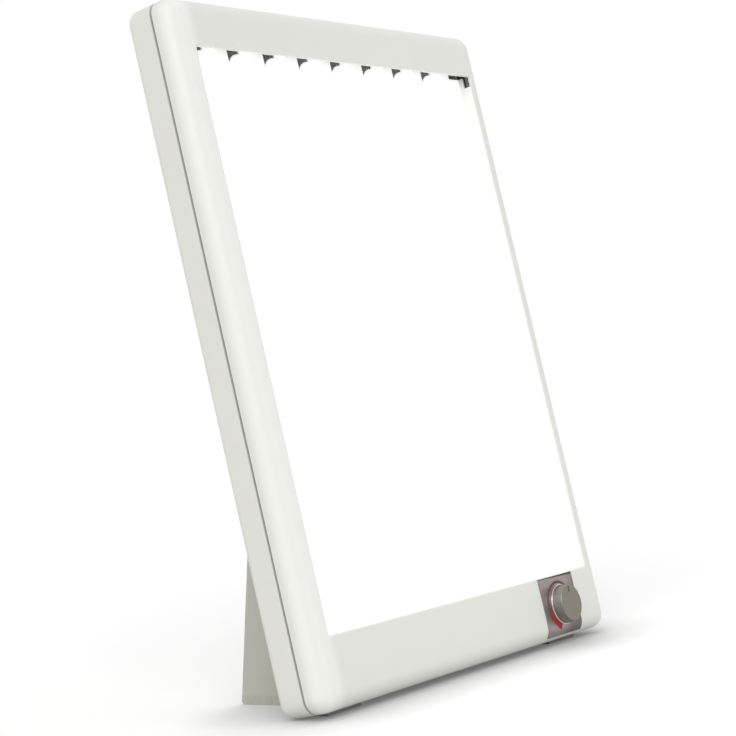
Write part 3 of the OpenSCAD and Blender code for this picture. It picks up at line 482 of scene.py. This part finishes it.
def wire_shader(tree, shader, tone, gloss, relief=None):
    """Links a node's Colour, another's Roughness and, if given, a third's Height in metres to the shader."""
    join(tree, (tone, "Colour", shader, "Base Color"), (gloss, "Roughness", shader, "Roughness"))
    if relief is not None:
        bump = node(tree, "Bump", {"Strength": 1.0, "Distance": 1.0})
        join(tree, (relief, "Height", bump, "Height"), (bump, "Normal", shader, "Normal"))


def darker(c, share):
    return tuple(x * share for x in c)


def shade_edges(tree, vector, last, edges):
    """Adds changes of tone after a node's Colour, each (direction, colour, start, end) in the panel's frame,
    and returns the last node."""
    for direction, shade, start, end in edges:
        made = place(tree, "edge_shade", {"Direction": direction, "Shade": shade, "Start": start, "End": end},
                     panel_vector(tree, vector))
        join(tree, (last, "Colour", made, "Colour"))
        last = made
    return last


def moulded(name, base, shade, roughness, spread, depth, mottle=9.0, coat=0.0, dust=None, edges=(), glow=0.0):
    """Moulded or enamelled piece: slow mottling, fine grain and handled gloss, with floor dust, changes of
    tone as shade_edges takes them, or a painted glow of its own, if asked."""
    material, tree, shader, vector = start_material(name, {"Coat Weight": coat, "Coat Roughness": 0.25,
                                                           "Emission Color": (1, 1, 1, 1),
                                                           "Emission Strength": glow})
    last = place(tree, "slow_mottle", {"Colour": base, "Shade": shade, "Scale": mottle}, vector)
    gloss = place(tree, "handled_gloss", {"Roughness": roughness, "Spread": spread}, vector)
    height = place(tree, "mould_grain", {"Depth": depth}, vector)
    if dust is not None:
        dusted = place(tree, "floor_dust", {"Shade": dust}, vector)
        join(tree, (last, "Colour", dusted, "Colour"))
        last = dusted
    wire_shader(tree, shader, shade_edges(tree, vector, last, edges), gloss, height)
    return material


def metal(name, effect, base, shade, roughness, spread, metallic=1.0, centre=(0, 0, 0), turn=0.0, edges=()):
    """Bare metal. Its effect is "brushed", with streaks across the panel or turned by an angle, or
    "turned", about the line through the centre along the panel's normal."""
    material, tree, shader, vector = start_material(name, {"Metallic": metallic})
    marks = place(tree, effect, {"Colour": base, "Shade": shade, "Roughness": roughness, "Spread": spread},
                  panel_vector(tree, vector, centre, turn=turn))
    wire_shader(tree, shader, shade_edges(tree, vector, marks, edges), marks, marks)
    return material


def opal(name, low, high, glow):
    """Lit opal sheet: the glow follows the light behind it, and the sheet itself is white and satin."""
    material, tree, shader, vector = start_material(name, {"Emission Strength": glow})
    centre, half = (low + high) / 2, (high - low) / 2
    light = place(tree, "screen_glow", {"Edge": (0.8, 0.8, 0.8), "Reach": 0.1, "Dip": 0.04},
                  panel_vector(tree, vector, centre, (half[0], half[1], 1.0)))
    tone = place(tree, "slow_mottle", {"Colour": (0.62, 0.62, 0.62), "Shade": (0.58, 0.58, 0.585),
                                       "Scale": 5.0, "Amount": 0.6}, vector)
    gloss = place(tree, "handled_gloss", {"Roughness": 0.36, "Spread": 0.1}, vector)
    join(tree, (light, "Colour", shader, "Emission Color"))
    wire_shader(tree, shader, tone, gloss)
    return material


def tube_glass(name, low, high):
    """Powder-coated lamp glass, brown at the electrode ends, under a clear gloss."""
    material, tree, shader, vector = start_material(name, {"Coat Weight": 0.6, "Coat Roughness": 0.04,
                                                           "Emission Strength": 0.5})
    centre, half = (low + high) / 2, (high - low) / 2
    ends = place(tree, "darker_ends", {"Colour": (0.88, 0.88, 0.86), "Shade": (0.30, 0.25, 0.20),
                                       "Clear": 0.86},
                 panel_vector(tree, vector, centre, (1.0, half[1], 1.0)))
    gloss = place(tree, "handled_gloss", {"Roughness": 0.3, "Spread": 0.08}, vector)
    join(tree, (ends, "Colour", shader, "Emission Color"))
    wire_shader(tree, shader, ends, gloss)
    return material


def print_ink(name, thin, thick):
    """Printed ink whose colour runs from the thin end to the thick one along the piece's own UV map."""
    material, tree, shader, vector = start_material(name, {"Specular IOR Level": 0.3})
    along = node(tree, "UVMap", uv_map="print")
    parts = node(tree, "SeparateXYZ")
    level = node(tree, "MapRange", {"From Min": 0.6, "From Max": 0.85}, interpolation_type="SMOOTHSTEP")
    mix = node(tree, "MixRGB", {"Color1": (*thin, 1), "Color2": (*thick, 1)})
    tone = place(tree, "slow_mottle", {"Shade": darker(thick, 0.6), "Scale": 700.0, "Amount": 0.25}, vector)
    gloss = place(tree, "handled_gloss", {"Roughness": 0.5, "Spread": 0.15}, vector)
    join(tree, (along, "UV", parts, "Vector"), (parts, "X", level, "Value"), (level, "Result", mix, "Fac"),
         (mix, "Color", tone, "Colour"))
    wire_shader(tree, shader, tone, gloss)
    return material


# Meshes


def sheet_faces(rows, columns, start, round_rows, round_columns):
    """Quads of a grid of rows and columns of points, wrapping round where asked."""
    r = np.arange(rows if round_rows else rows - 1)
    c = np.arange(columns if round_columns else columns - 1)
    a, b = np.meshgrid(r, c, indexing="ij")
    a2, b2 = (a + 1) % rows, (b + 1) % columns
    return (start + np.stack([a * columns + b, a2 * columns + b, a2 * columns + b2, a * columns + b2], -1)
            ).reshape(-1, 4)


def piece_mesh(name, shells):
    """One mesh from shells, each (grid of points, rows wrap, columns wrap, caps). A cap closes the first and
    last row with one flat face."""
    points, faces, start = [], [], 0
    for grid, round_rows, round_columns, caps in shells:
        rows, columns = grid.shape[:2]
        points.append(grid.reshape(-1, 3))
        faces += sheet_faces(rows, columns, start, round_rows, round_columns).tolist()
        if caps:
            faces.append((start + np.arange(columns)).tolist())
            faces.append((start + (rows - 1) * columns + np.arange(columns)[::-1]).tolist())
        start += rows * columns
    mesh = bpy.data.meshes.new(name)
    mesh.from_pydata(np.concatenate(points).tolist(), [], faces)
    mesh.update()
    return mesh


def add_object(name, data):
    """Adds an object at the origin, with its data."""
    made = bpy.data.objects.new(name, data)
    bpy.context.scene.collection.objects.link(made)
    return made


def add_piece(name, shells, material, body, smooth_deg=40.0):
    """Adds a piece made of shells, smooth up to an angle, and lets it ride on its body."""
    mesh = piece_mesh(name, shells)
    piece = add_object(name, mesh)
    mesh.materials.append(material)
    mesh.polygons.foreach_set("use_smooth", np.ones(len(mesh.polygons), bool))
    mesh.set_sharp_from_angle(angle=math.radians(smooth_deg))
    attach(piece, body)
    return piece


def dress(material, *names):
    """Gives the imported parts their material."""
    for name in names:
        mesh = frame["nodes"][name].data
        mesh.materials.clear()
        mesh.materials.append(material)


def edge_profile(z0, z1, edge, steps=5):
    """Inset and height along a sheet's edge, from its front face to its back face: a quarter round, the side,
    and a quarter round. At angle a the first is inset edge(1 - sin a) and edge(1 - cos a) below the front."""
    a = np.linspace(0, np.pi / 2, steps)
    inset = np.concatenate([edge * (1 - np.sin(a)), edge * (1 - np.cos(a))])
    height = np.concatenate([z1 - edge * (1 - np.cos(a)), z0 + edge * (1 - np.sin(a))])
    return inset, height


def soft_sheet(corners, z0, z1, edge, steps=7):
    """Closed sheet with rounded corners and soft edges. Each corner is (x, y, radius, first angle, sweep),
    and its point at angle a is (x, y) + (radius - inset) (cos a, sin a), where the inset and the height
    follow the edge's profile."""
    inset, height = edge_profile(z0, z1, edge)
    x, y, radius, first, sweep = (np.repeat(v, steps) for v in np.array(corners, float).T)
    angle = first + sweep * np.tile(np.linspace(0, 1, steps), len(corners))
    reach = radius[None, :] - inset[:, None]
    across = x + reach * np.cos(angle)
    up = y + reach * np.sin(angle)
    out = np.repeat(height[:, None], len(angle), 1)
    return from_panel(np.stack([across, up, out], -1)), False, True, True


def rounded_corners(x0, x1, y0, y1, radii):
    """The four corners of a rectangle, anticlockwise from the lower left, as soft_sheet takes them."""
    a, b, c, d = radii
    quarter_turn = np.pi / 2
    return [(x0 + a, y0 + a, a, np.pi, quarter_turn), (x1 - b, y0 + b, b, 1.5 * np.pi, quarter_turn),
            (x1 - c, y1 - c, c, 0.0, quarter_turn), (x0 + d, y1 - d, d, quarter_turn, quarter_turn)]


def tab_corners(x0, x1, y0):
    """The four corners of a grip's tab: two feet, a tight corner at the upper right, and a wide shoulder at
    the upper left from which the upper edge rises by TAB_SLOPE."""
    top = np.pi / 2 + TAB_SLOPE
    shoulder = (x0 + TAB_SHOULDER, y0 + TAB_DROP - TAB_SHOULDER)
    run = x1 - TAB_SQUARE - shoulder[0]
    tight = shoulder[1] + (TAB_SHOULDER - TAB_SQUARE) / math.cos(TAB_SLOPE) + run * math.tan(TAB_SLOPE)
    feet = rounded_corners(x0, x1, y0, y0 + TAB_DROP, [TAB_FOOT] * 4)[:2]
    return feet + [(x1 - TAB_SQUARE, tight, TAB_SQUARE, 0.0, top),
                   (*shoulder, TAB_SHOULDER, top, np.pi - top)]


def grip_shells(low, high, rod_y, rod_z):
    """Film grip: a soft-edged tab, a thicker pad along its lower edge that presses on the film, a neck up to
    the rod and a barrel round it."""
    front = low[2] + PAD_SHEET + TAB_SHEET
    middle = (low[0] + high[0]) / 2
    neck0, neck1 = middle - NECK_W / 2, middle + NECK_W / 2
    neck_y0 = low[1] + TAB_DROP - NECK_LAP
    tab = soft_sheet(tab_corners(low[0], high[0], low[1]), front - TAB_SHEET, front, TAB_EDGE)
    pad = soft_sheet(rounded_corners(low[0], high[0], low[1], low[1] + TAB_DROP - PAD_DROP,
                                     (TAB_FOOT, TAB_FOOT, SMALL_CORNER, SMALL_CORNER)),
                     low[2], front - TAB_EDGE, PAD_EDGE)
    neck = soft_sheet(rounded_corners(neck0, neck1, neck_y0, rod_y - TAB_SQUARE, [SMALL_CORNER] * 4),
                      front - TAB_SHEET, front, NECK_EDGE)
    barrel = barrel_along(neck0, neck1, rod_y, rod_z, ROD_HOLE_R, high[1] - rod_y, TAB_EDGE)
    return [tab, pad, neck, barrel]


def turned_shell(centre, profile, closed=False, steps=144):
    """Surface of revolution about the panel's normal through the centre: the profile is a line of (radius,
    height) that runs outwards, down and back in, and the point at angle a is centre + (r cos a, r sin a, h).
    An open line starts and ends near the axis, where a small flat face closes it."""
    a = np.linspace(0, 2 * np.pi, steps, endpoint=False)
    r, h = np.array(profile, float).T
    grid = np.stack([r[:, None] * np.cos(a), r[:, None] * np.sin(a), np.repeat(h[:, None], steps, 1)], -1)
    return from_panel(grid + np.array(centre)), closed, True, not closed


def quarter(centre, radius, first, last, steps=6):
    """Points of an arc, as (radius, height) pairs: centre + radius (cos a, sin a)."""
    a = np.linspace(first, last, steps)
    return [tuple(p) for p in np.array(centre) + radius * np.stack([np.cos(a), np.sin(a)], -1)]


def knob_profile(foot, face, height, steps=90, side_steps=12):
    """Outline of the knob cap from the face's middle outwards: fine grooves in a face that lies
    KNOB_DISH (1 - (r / face)^2) deep, a raised rim, the tapered side down to the foot, then the hollow inside
    with its hub."""
    r = np.linspace(AXIS_FLAT_R, face - KNOB_DISH_IN, steps)
    dish = height - KNOB_DISH * (1 - (r / face) ** 2)
    grooves = sum(np.exp(-((r - middle) / GROOVE_W) ** 2) for middle in GROOVES_R)
    top = np.stack([r, dish - GROOVE_DEPTH * grooves], -1)
    shoulder = height - KNOB_RIM_R
    rim = quarter((face - KNOB_RIM_R, shoulder), KNOB_RIM_R, np.pi / 2, 0)
    taper = [(face + (foot - KNOB_FOOT_IN - face) * k, shoulder - (shoulder - KNOB_FOOT_H) * k)
             for k in np.linspace(0.05, 1, side_steps)]
    inside = [(foot - KNOB_FOOT_IN, HOLLOW_LOW), (HOLLOW_R, HOLLOW_LOW), (HOLLOW_R, HOLLOW_TOP),
              (HUB_R, HOLLOW_TOP), (HUB_R, HUB_LOW), (BORE_R, HUB_LOW), (BORE_R, HOLLOW_TOP),
              (AXIS_FLAT_R, HOLLOW_TOP)]
    return [tuple(p) for p in top] + rim + taper + inside


def ring_profile(inner, outer, low, high, edge):
    """Section of a ring with soft outer edges, clockwise from its upper inner corner."""
    return ([(inner, high)] + quarter((outer - edge, high - edge), edge, np.pi / 2, 0)
            + quarter((outer - edge, low + edge), edge, 0, -np.pi / 2) + [(inner, low)])


def barrel_along(x0, x1, y, z, inner, outer, edge, steps=40):
    """Tube across the panel: a closed section with its outer corners cut by edge, turned about the line
    through (y, z), so that the point at angle a is (x, y + r cos a, z + r sin a)."""
    a = np.linspace(0, 2 * np.pi, steps, endpoint=False)
    x = np.array([x1, x1 - edge, x0 + edge, x0, x0, x1])
    r = np.array([outer - edge, outer, outer, outer - edge, inner, inner])
    grid = np.stack([np.repeat(x[:, None], steps, 1), y + r[:, None] * np.cos(a),
                     z + r[:, None] * np.sin(a)], -1)
    return from_panel(grid), True, True, False


def on_plate(along, up, start, top):
    """Printed points on the plate and its normals there: flat above the bend's start, and below it carried
    round the bend. A point s below the start turns by a = s / r, to (start - r sin a, top - r + r cos a)."""
    turn = np.clip(start - up, 0, None) / PLATE_BEND_R
    y = np.where(up < start, start - PLATE_BEND_R * np.sin(turn), up)
    z = top - PLATE_BEND_R * (1 - np.cos(turn))
    normal = np.stack([np.zeros_like(turn), -np.sin(turn), np.cos(turn)], -1)
    return np.stack([along, y, z], -1), normal


def scale_shells(sizes, centre, top, steps=120, across=5):
    """Shells of the wedge-shaped scale and its end dot, and each point's share of the sweep. At share t the
    middle line keeps its radius, the width has grown from thin towards thick by t to the power SCALE_GROWTH,
    and the print stands PRINT_RISE above the plate and as deep in it. The dot's points have DOT_SHARE."""
    t = np.linspace(0, 1, steps)[:, None]
    k = np.linspace(1, 0, across)[None, :]
    angle = sizes.scale_from + (sizes.scale_to - sizes.scale_from) * t
    width = sizes.scale_thin + (sizes.scale_thick - sizes.scale_thin) * t ** SCALE_GROWTH
    radius = sizes.scale_r + width * (k - 0.5)
    flat, normal = on_plate(centre[0] + radius * np.cos(angle), centre[1] + radius * np.sin(angle),
                            PLATE_BEND_Y, top)
    loop = np.concatenate([flat + normal * PRINT_RISE, (flat - normal * PRINT_RISE)[:, ::-1]], 1)
    dot_line = [(r * DOT_R, h) for r, h in ((0.1, PRINT_RISE), (1, PRINT_RISE), (1, -PRINT_RISE),
                                            (0.1, -PRINT_RISE))]
    dot = turned_shell((centre[0] + DOT_AT[0], centre[1] + DOT_AT[1], top), dot_line, steps=32)
    share = np.concatenate([np.repeat(t, loop.shape[1], 1).ravel(), np.full(dot[0].size // 3, DOT_SHARE)])
    return [(from_panel(loop), False, True, True), dot], share


def map_share(mesh, share):
    """Writes each point's share into the first direction of the UV map that print_ink reads."""
    uv = mesh.uv_layers.new(name="print")
    vertex = np.zeros(len(mesh.loops), np.int32)
    mesh.loops.foreach_get("vertex_index", vertex)
    uv.data.foreach_set("uv", np.stack([share[vertex], np.full(len(vertex), 0.5)], -1).ravel())


# Operators, one for each piece or group of like pieces


class FILMVIEWER_OT_front_shell(bpy.types.Operator):
    """Enamels the front shell"""
    bl_idname = "film_viewer.front_shell"
    bl_label = "Front shell"

    def execute(self, context):
        c = context.scene.viewer_colours
        low = panel_box("front_bezel")[0]
        # Painted highlight along the left bezel, then the plain enamel again on the outer rounding
        left = ((-1, 0, 0), c.lit, -low[0] - PAINTED_HIGHLIGHT_FROM, -low[0] - PAINTED_HIGHLIGHT_TO)
        outer = ((-1, 0, 0), c.front, -low[0] - HIGHLIGHT_END_FROM, -low[0] - HIGHLIGHT_END_TO)
        # Painted shade: the front shell darker towards its back edge, next to the seam
        side = ((0, 0, -1), darker(c.front, 0.9), -low[2] - SEAM_SHADE_FROM, -low[2] - SEAM_SHADE_TO)
        dress(moulded("bezel_enamel", c.front, darker(c.front, 0.975), 0.42, 0.1,
                      context.scene.viewer_sizes.grain * 0.5, coat=0.1, edges=[left, outer, side]),
              "front_bezel")
        return {"FINISHED"}


class FILMVIEWER_OT_rear_shell(bpy.types.Operator):
    """Gives the rear shell its moulded plastic"""
    bl_idname = "film_viewer.rear_shell"
    bl_label = "Rear shell"

    def execute(self, context):
        c = context.scene.viewer_colours
        # Painted shade: the rear shell turns dark from the reveal's depth forwards, inside the reveal
        reveal = panel_box("front_bezel")[0][2] - REVEAL_BACK
        line = ((0, 0, 1), c.reveal, reveal + REVEAL_START, reveal + REVEAL_END)
        dress(moulded("shell_plastic", c.rear, darker(c.rear, 0.965), 0.5, 0.1,
                      context.scene.viewer_sizes.grain, edges=[line]), "rear_shell")
        return {"FINISHED"}


class FILMVIEWER_OT_screen(bpy.types.Operator):
    """Lights the opal screen"""
    bl_idname = "film_viewer.screen"
    bl_label = "Opal screen"

    def execute(self, context):
        low, high = panel_box("diffuser_screen")
        dress(opal("opal_acrylic", low, high, context.scene.viewer_light.glow), "diffuser_screen")
        return {"FINISHED"}


class FILMVIEWER_OT_lamps(bpy.types.Operator):
    """Finishes the reflector tray, the three lamps with their bases, holders and cradles, the terminal block
    and the ballast"""
    bl_idname = "film_viewer.lamps"
    bl_label = "Tray and lamps"

    def execute(self, context):
        grain = context.scene.viewer_sizes.grain
        dress(moulded("tray_white", (0.86, 0.86, 0.85), (0.82, 0.82, 0.8), 0.35, 0.12, grain * 0.4, 14.0),
              "reflector_tray")
        glass = tube_glass("lamp_glass", *panel_box("lamp_tube_1"))
        ivory = moulded("ivory_plastic", (0.74, 0.71, 0.6), (0.68, 0.64, 0.52), 0.4, 0.1, grain)
        zinc = metal("zinc_sheet", "brushed", (0.62, 0.64, 0.66), (0.45, 0.47, 0.49), 0.36, 0.2)
        for i in (1, 2, 3):
            dress(glass, f"lamp_tube_{i}")
            dress(ivory, f"lamp_base_{i}", f"lamp_holder_{i}")
            dress(zinc, f"lamp_cradle_{i}")
        dress(ivory, "terminal_block")
        dress(zinc, "ballast")
        return {"FINISHED"}


class FILMVIEWER_OT_electrics(bpy.types.Operator):
    """Finishes the power inlet with its pins, and the dimmer with its nut"""
    bl_idname = "film_viewer.electrics"
    bl_label = "Inlet and dimmer"

    def execute(self, context):
        dress(moulded("black_plastic", (0.022, 0.022, 0.024), (0.035, 0.034, 0.034), 0.38, 0.14,
                      context.scene.viewer_sizes.grain, 30.0), "power_inlet", "dimmer_body")
        dress(metal("brass_pin", "brushed", (0.70, 0.60, 0.36), (0.5, 0.41, 0.24), 0.25, 0.2), "inlet_pins")
        dress(metal("nut_zinc", "turned", (0.66, 0.67, 0.68), (0.5, 0.51, 0.53), 0.3, 0.15,
                    centre=KNOB_AXIS), "dimmer_nut")
        return {"FINISHED"}


class FILMVIEWER_OT_control(bpy.types.Operator):
    """Brushes the control plate and makes the knob: a turned cap with a dished face, a bright ring and a
    mark"""
    bl_idname = "film_viewer.control"
    bl_label = "Plate and knob"

    def execute(self, context):
        c = context.scene.viewer_colours
        # Painted shadow of the knob, darker towards the plate's lower right
        fade = KNOB_AT[0] - PLATE_SHADOW_SLOPE * KNOB_AT[1]
        # Painted shade along the plate's top edge, in the gap under the lip
        line = panel_box("control_plate")[1][1] + TOP_SHADE_SLOPE * KNOB_AT[0]
        painted_shades = [((1, -PLATE_SHADOW_SLOPE, 0), darker(c.plate, 0.45), fade + PLATE_SHADOW_FROM, fade + PLATE_SHADOW_TO),
                  ((TOP_SHADE_SLOPE, 1, 0), darker(c.plate, 0.12), line - TOP_SHADE_FROM, line - TOP_SHADE_TO)]
        dress(metal("plate_metal", "brushed", c.plate, darker(c.plate, 0.86), 0.3, 0.14, edges=painted_shades),
              "control_plate")
        dress(metal("shaft_steel", "turned", (0.6, 0.6, 0.6), (0.45, 0.45, 0.46), 0.28, 0.1,
                    centre=KNOB_AXIS), "dimmer_shaft")
        low, high = panel_box("control_knob")
        foot, base = (high[0] - low[0]) / 2, (KNOB_AT[0], KNOB_AT[1], low[2])
        face = foot - KNOB_TAPER
        colour_step = ((0, 0, 1), c.face, high[2] - FACE_FROM, high[2] - FACE_TO)
        grey = metal("knob_grey", "turned", c.knob, darker(c.knob, 0.8), 0.3, 0.16, 0.9, KNOB_AXIS,
                     edges=[colour_step])
        # The ring's pale colour is partly its own and partly a painted highlight
        bright = metal("knob_bright", "turned", c.ring, darker(c.ring, 0.85), 0.22, 0.1, centre=KNOB_AXIS)
        dark = metal("knob_mark_dark", "turned", darker(c.face, 0.4), darker(c.face, 0.3), 0.4, 0.1, 0.5,
                     KNOB_AXIS)
        cap = turned_shell(base, knob_profile(foot, face, high[2] - low[2]))
        outline = ring_profile(foot - RING_W, foot, -RING_BELOW, KNOB_FOOT_H, RING_EDGE)
        ring = turned_shell(base, outline, True)
        mark_x, mark_y = KNOB_AT[0] - MARK_W / 2, KNOB_AT[1] + face - MARK_IN - MARK_L
        corners = rounded_corners(mark_x, mark_x + MARK_W, mark_y, mark_y + MARK_L, [MARK_CORNER] * 4)
        mark = soft_sheet(corners, high[2] - MARK_DEPTH, high[2], MARK_EDGE)
        piece = add_piece("knob_cap", [cap], grey, "knob", KNOB_SMOOTH_DEG)
        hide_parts("control_knob")
        add_piece("knob_ring", [ring], bright, "knob", KNOB_SMOOTH_DEG)
        add_piece("knob_mark", [mark], dark, "knob", KNOB_SMOOTH_DEG)
        return {"FINISHED"}


class FILMVIEWER_OT_scale(bpy.types.Operator):
    """Prints the wedge-shaped scale round the knob, on the plate and its bend"""
    bl_idname = "film_viewer.scale"
    bl_label = "Dial scale"

    def execute(self, context):
        c = context.scene.viewer_colours
        shells, share = scale_shells(context.scene.viewer_sizes, KNOB_AT, panel_box("control_plate")[1][2])
        ink = print_ink("scale_ink", c.scale_thin, c.scale_thick)
        piece = add_piece("dial_scale", shells, ink, "casing")
        map_share(piece.data, share)
        return {"FINISHED"}


class FILMVIEWER_OT_grips(bpy.types.Operator):
    """Makes the soft-edged film grips and finishes their rail, rod and springs"""
    bl_idname = "film_viewer.grips"
    bl_label = "Film grips"

    def execute(self, context):
        c = context.scene.viewer_colours
        dress(metal("rail_steel", "brushed", (0.20, 0.205, 0.2), (0.13, 0.135, 0.13), 0.42, 0.15, 0.9),
              "grip_rail")
        dress(metal("steel_rod", "brushed", *PLAIN_STEEL, 0.25, 0.15), "grip_rod", "grip_springs")
        # Painted glow: the grips send out light of their own
        white = moulded("grip_white", c.grip, darker(c.grip, 0.97), 0.4, 0.1,
                        context.scene.viewer_sizes.grain * 0.5, glow=0.45)
        rod = to_panel(next(j for j in frame["joints"] if j["name"] == "grip_1_lift")["pos_m"])
        for i in range(1, GRIPS + 1):
            low, high = panel_box(f"film_grip_{i}")
            piece = add_piece(f"grip_tab_{i}", grip_shells(low, high, rod[1], rod[2]), white, f"grip_{i}")
            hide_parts(f"film_grip_{i}")
        return {"FINISHED"}


class FILMVIEWER_OT_stand(bpy.types.Operator):
    """Finishes the stand fins, their pins and strips, and the feet"""
    bl_idname = "film_viewer.stand"
    bl_label = "Stand and feet"

    def execute(self, context):
        c = context.scene.viewer_colours
        grain = context.scene.viewer_sizes.grain
        finishes = {
            "stand_fin": moulded("fin_grey", c.stand, darker(c.stand, 0.95), 0.5, 0.12, grain,
                                 dust=FLOOR_DUST),
            "fin_pin": metal("pin_steel", "brushed", *PLAIN_STEEL, 0.25, 0.15, turn=math.pi / 2),
            "fin_strip": moulded("strip_rubber", c.strip, darker(c.strip, 0.85), 0.7, 0.12, grain * 1.4, 40.0,
                                 dust=FLOOR_DUST),
            "base_foot": moulded("foot_rubber", c.rubber, darker(c.rubber, 0.7), 0.7, 0.12, grain * 1.4, 40.0,
                                 dust=FOOT_DUST),
        }
        for kind, material in finishes.items():
            dress(material, f"{kind}_left", f"{kind}_right")
        return {"FINISHED"}


class FILMVIEWER_OT_fasteners(bpy.types.Operator):
    """Finishes the case, tray, rail and inlet screws"""
    bl_idname = "film_viewer.fasteners"
    bl_label = "Screws"

    def execute(self, context):
        dress(metal("zinc_screw", "brushed", (0.64, 0.65, 0.67), (0.46, 0.47, 0.5), 0.28, 0.2, turn=0.6),
              "case_screws", "tray_screws", "rail_screws", "inlet_screws")
        return {"FINISHED"}


class FILMVIEWER_OT_stage(bpy.types.Operator):
    """Sets the floor, the even light, the soft lamp and the camera"""
    bl_idname = "film_viewer.stage"
    bl_label = "Floor, light and camera"

    def execute(self, context):
        light = context.scene.viewer_light
        context.scene.view_settings.view_transform = "Standard"
        pale_floor()
        even_light(light.sky)
        soft_lamp(light.sun, light.sun_size)
        viewing_camera()
        return {"FINISHED"}


def pale_floor():
    """White floor that keeps the shadow: a diffuse sheet, with a little of its own light for the camera and
    mirrors, so that it meets the white background. Both fade where something stands within FLOOR_CLOSE, and
    the sheet's colour darkens there as painted shade."""
    mesh = bpy.data.meshes.new("floor")
    corners = [(x * FLOOR_REACH, y * FLOOR_REACH, 0) for x, y in ((-1, -1), (1, -1), (1, 1), (-1, 1))]
    mesh.from_pydata(corners, [], [(0, 1, 2, 3)])
    floor = add_object("floor", mesh)
    material, tree, shader, _ = start_material("floor_white", {"Roughness": 0.9, "Specular IOR Level": 0.1})
    close = node(tree, "AmbientOcclusion", {"Distance": FLOOR_CLOSE}, samples=8)
    # Painted shade: the floor's colour darkens where something stands close
    pale = node(tree, "MapRange", {"From Min": 0.5, "From Max": 1.0, "To Min": 0.62, "To Max": 0.96})
    own = node(tree, "MapRange", {"From Min": 0.72, "From Max": 1.0, "To Min": 0.11, "To Max": 0.22})
    strength = maths(tree, "MULTIPLY")
    glow = node(tree, "Emission", {"Color": (1, 1, 1, 1)})
    both = node(tree, "AddShader")
    join(tree, (close, "AO", pale, "Value"), (close, "AO", own, "Value"), (own, "Result", strength, 0),
         (seen_rays(tree), "Value", strength, 1), (strength, "Value", glow, "Strength"),
         (pale, "Result", shader, "Base Color"), (shader, "BSDF", both, 0), (glow, "Emission", both, 1),
         (both, "Shader", tree.nodes["Material Output"], "Surface"))
    mesh.materials.append(material)


def seen_rays(tree):
    """A node whose value is 1 for a ray from the camera or a mirror, and 0 for one that lights a surface."""
    rays = node(tree, "LightPath")
    seen = maths(tree, "MAXIMUM")
    join(tree, (rays, "Is Camera Ray", seen, 0), (rays, "Is Glossy Ray", seen, 1))
    return seen


def even_light(strength):
    """White surroundings: strength 1 where they are seen, and the given strength where they light."""
    world = bpy.data.worlds.new("studio")
    bpy.context.scene.world = world
    world.use_nodes = True
    tree = world.node_tree
    tree.nodes.clear()
    level = node(tree, "MapRange", {"To Min": strength, "To Max": 1.0})
    white = node(tree, "Background", {"Color": (1, 1, 1, 1)})
    join(tree, (seen_rays(tree), "Value", level, "Value"), (level, "Result", white, "Strength"),
         (white, "Background", node(tree, "OutputWorld"), "Surface"))


def soft_lamp(strength, size):
    """Broad lamp from the left front and above."""
    data = bpy.data.lights.new("soft_lamp", "SUN")
    data.energy, data.angle = strength, size
    lamp = add_object("soft_lamp", data)
    lamp.rotation_euler = Vector(LAMP_FROM).to_track_quat("Z", "Y").to_euler()


def viewing_camera():
    """Camera at the photograph's angle: from the front left, a little below the panel's middle, slightly
    rolled."""
    data = bpy.data.cameras.new("viewing_camera")
    data.lens, data.sensor_width = CAMERA_LENS, CAMERA_SENSOR
    data.clip_start, data.clip_end = 0.05, 100
    camera = add_object("viewing_camera", data)
    back = -Vector(np.array(CAMERA_LOOKS) @ BASIS).normalized()
    right = Vector(np.array(CAMERA_UP) @ BASIS).cross(back).normalized()
    turn = Matrix((right, back.cross(right), back)).transposed()
    camera.matrix_world = Matrix.Translation(from_panel(CAMERA_AT)) @ turn.to_4x4()
    bpy.context.scene.camera = camera


# Panel and registration

STEPS = (FILMVIEWER_OT_front_shell, FILMVIEWER_OT_rear_shell, FILMVIEWER_OT_screen, FILMVIEWER_OT_lamps,
         FILMVIEWER_OT_electrics, FILMVIEWER_OT_control, FILMVIEWER_OT_scale, FILMVIEWER_OT_grips,
         FILMVIEWER_OT_stand, FILMVIEWER_OT_fasteners, FILMVIEWER_OT_stage)


class FILMVIEWER_PT_pieces(bpy.types.Panel):
    """Lists the sizes, the colours and a button for each piece"""
    bl_idname = "FILMVIEWER_PT_pieces"
    bl_label = "Film viewer"
    bl_space_type = "VIEW_3D"
    bl_region_type = "UI"
    bl_category = "Film viewer"

    def draw(self, context):
        for group in (context.scene.viewer_sizes, context.scene.viewer_colours, context.scene.viewer_light):
            box = self.layout.box()
            for name in group.bl_rna.properties.keys():
                if name not in ("rna_type", "name"):
                    box.prop(group, name)
        for step in STEPS:
            self.layout.operator(step.bl_idname)


CLASSES = (ViewerColours, ViewerSizes, ViewerLight, *STEPS, FILMVIEWER_PT_pieces)


def register():
    for cls in CLASSES:
        bpy.utils.register_class(cls)
    bpy.types.Scene.viewer_colours = PointerProperty(type=ViewerColours)
    bpy.types.Scene.viewer_sizes = PointerProperty(type=ViewerSizes)
    bpy.types.Scene.viewer_light = PointerProperty(type=ViewerLight)


def unregister():
    del bpy.types.Scene.viewer_light
    del bpy.types.Scene.viewer_sizes
    del bpy.types.Scene.viewer_colours
    for cls in reversed(CLASSES):
        bpy.utils.unregister_class(cls)


def main():
    register()
    build_groups()
    for step in STEPS:
        getattr(bpy.ops.film_viewer, step.bl_idname.split(".")[1])()


if __name__ == "__main__":
    main()
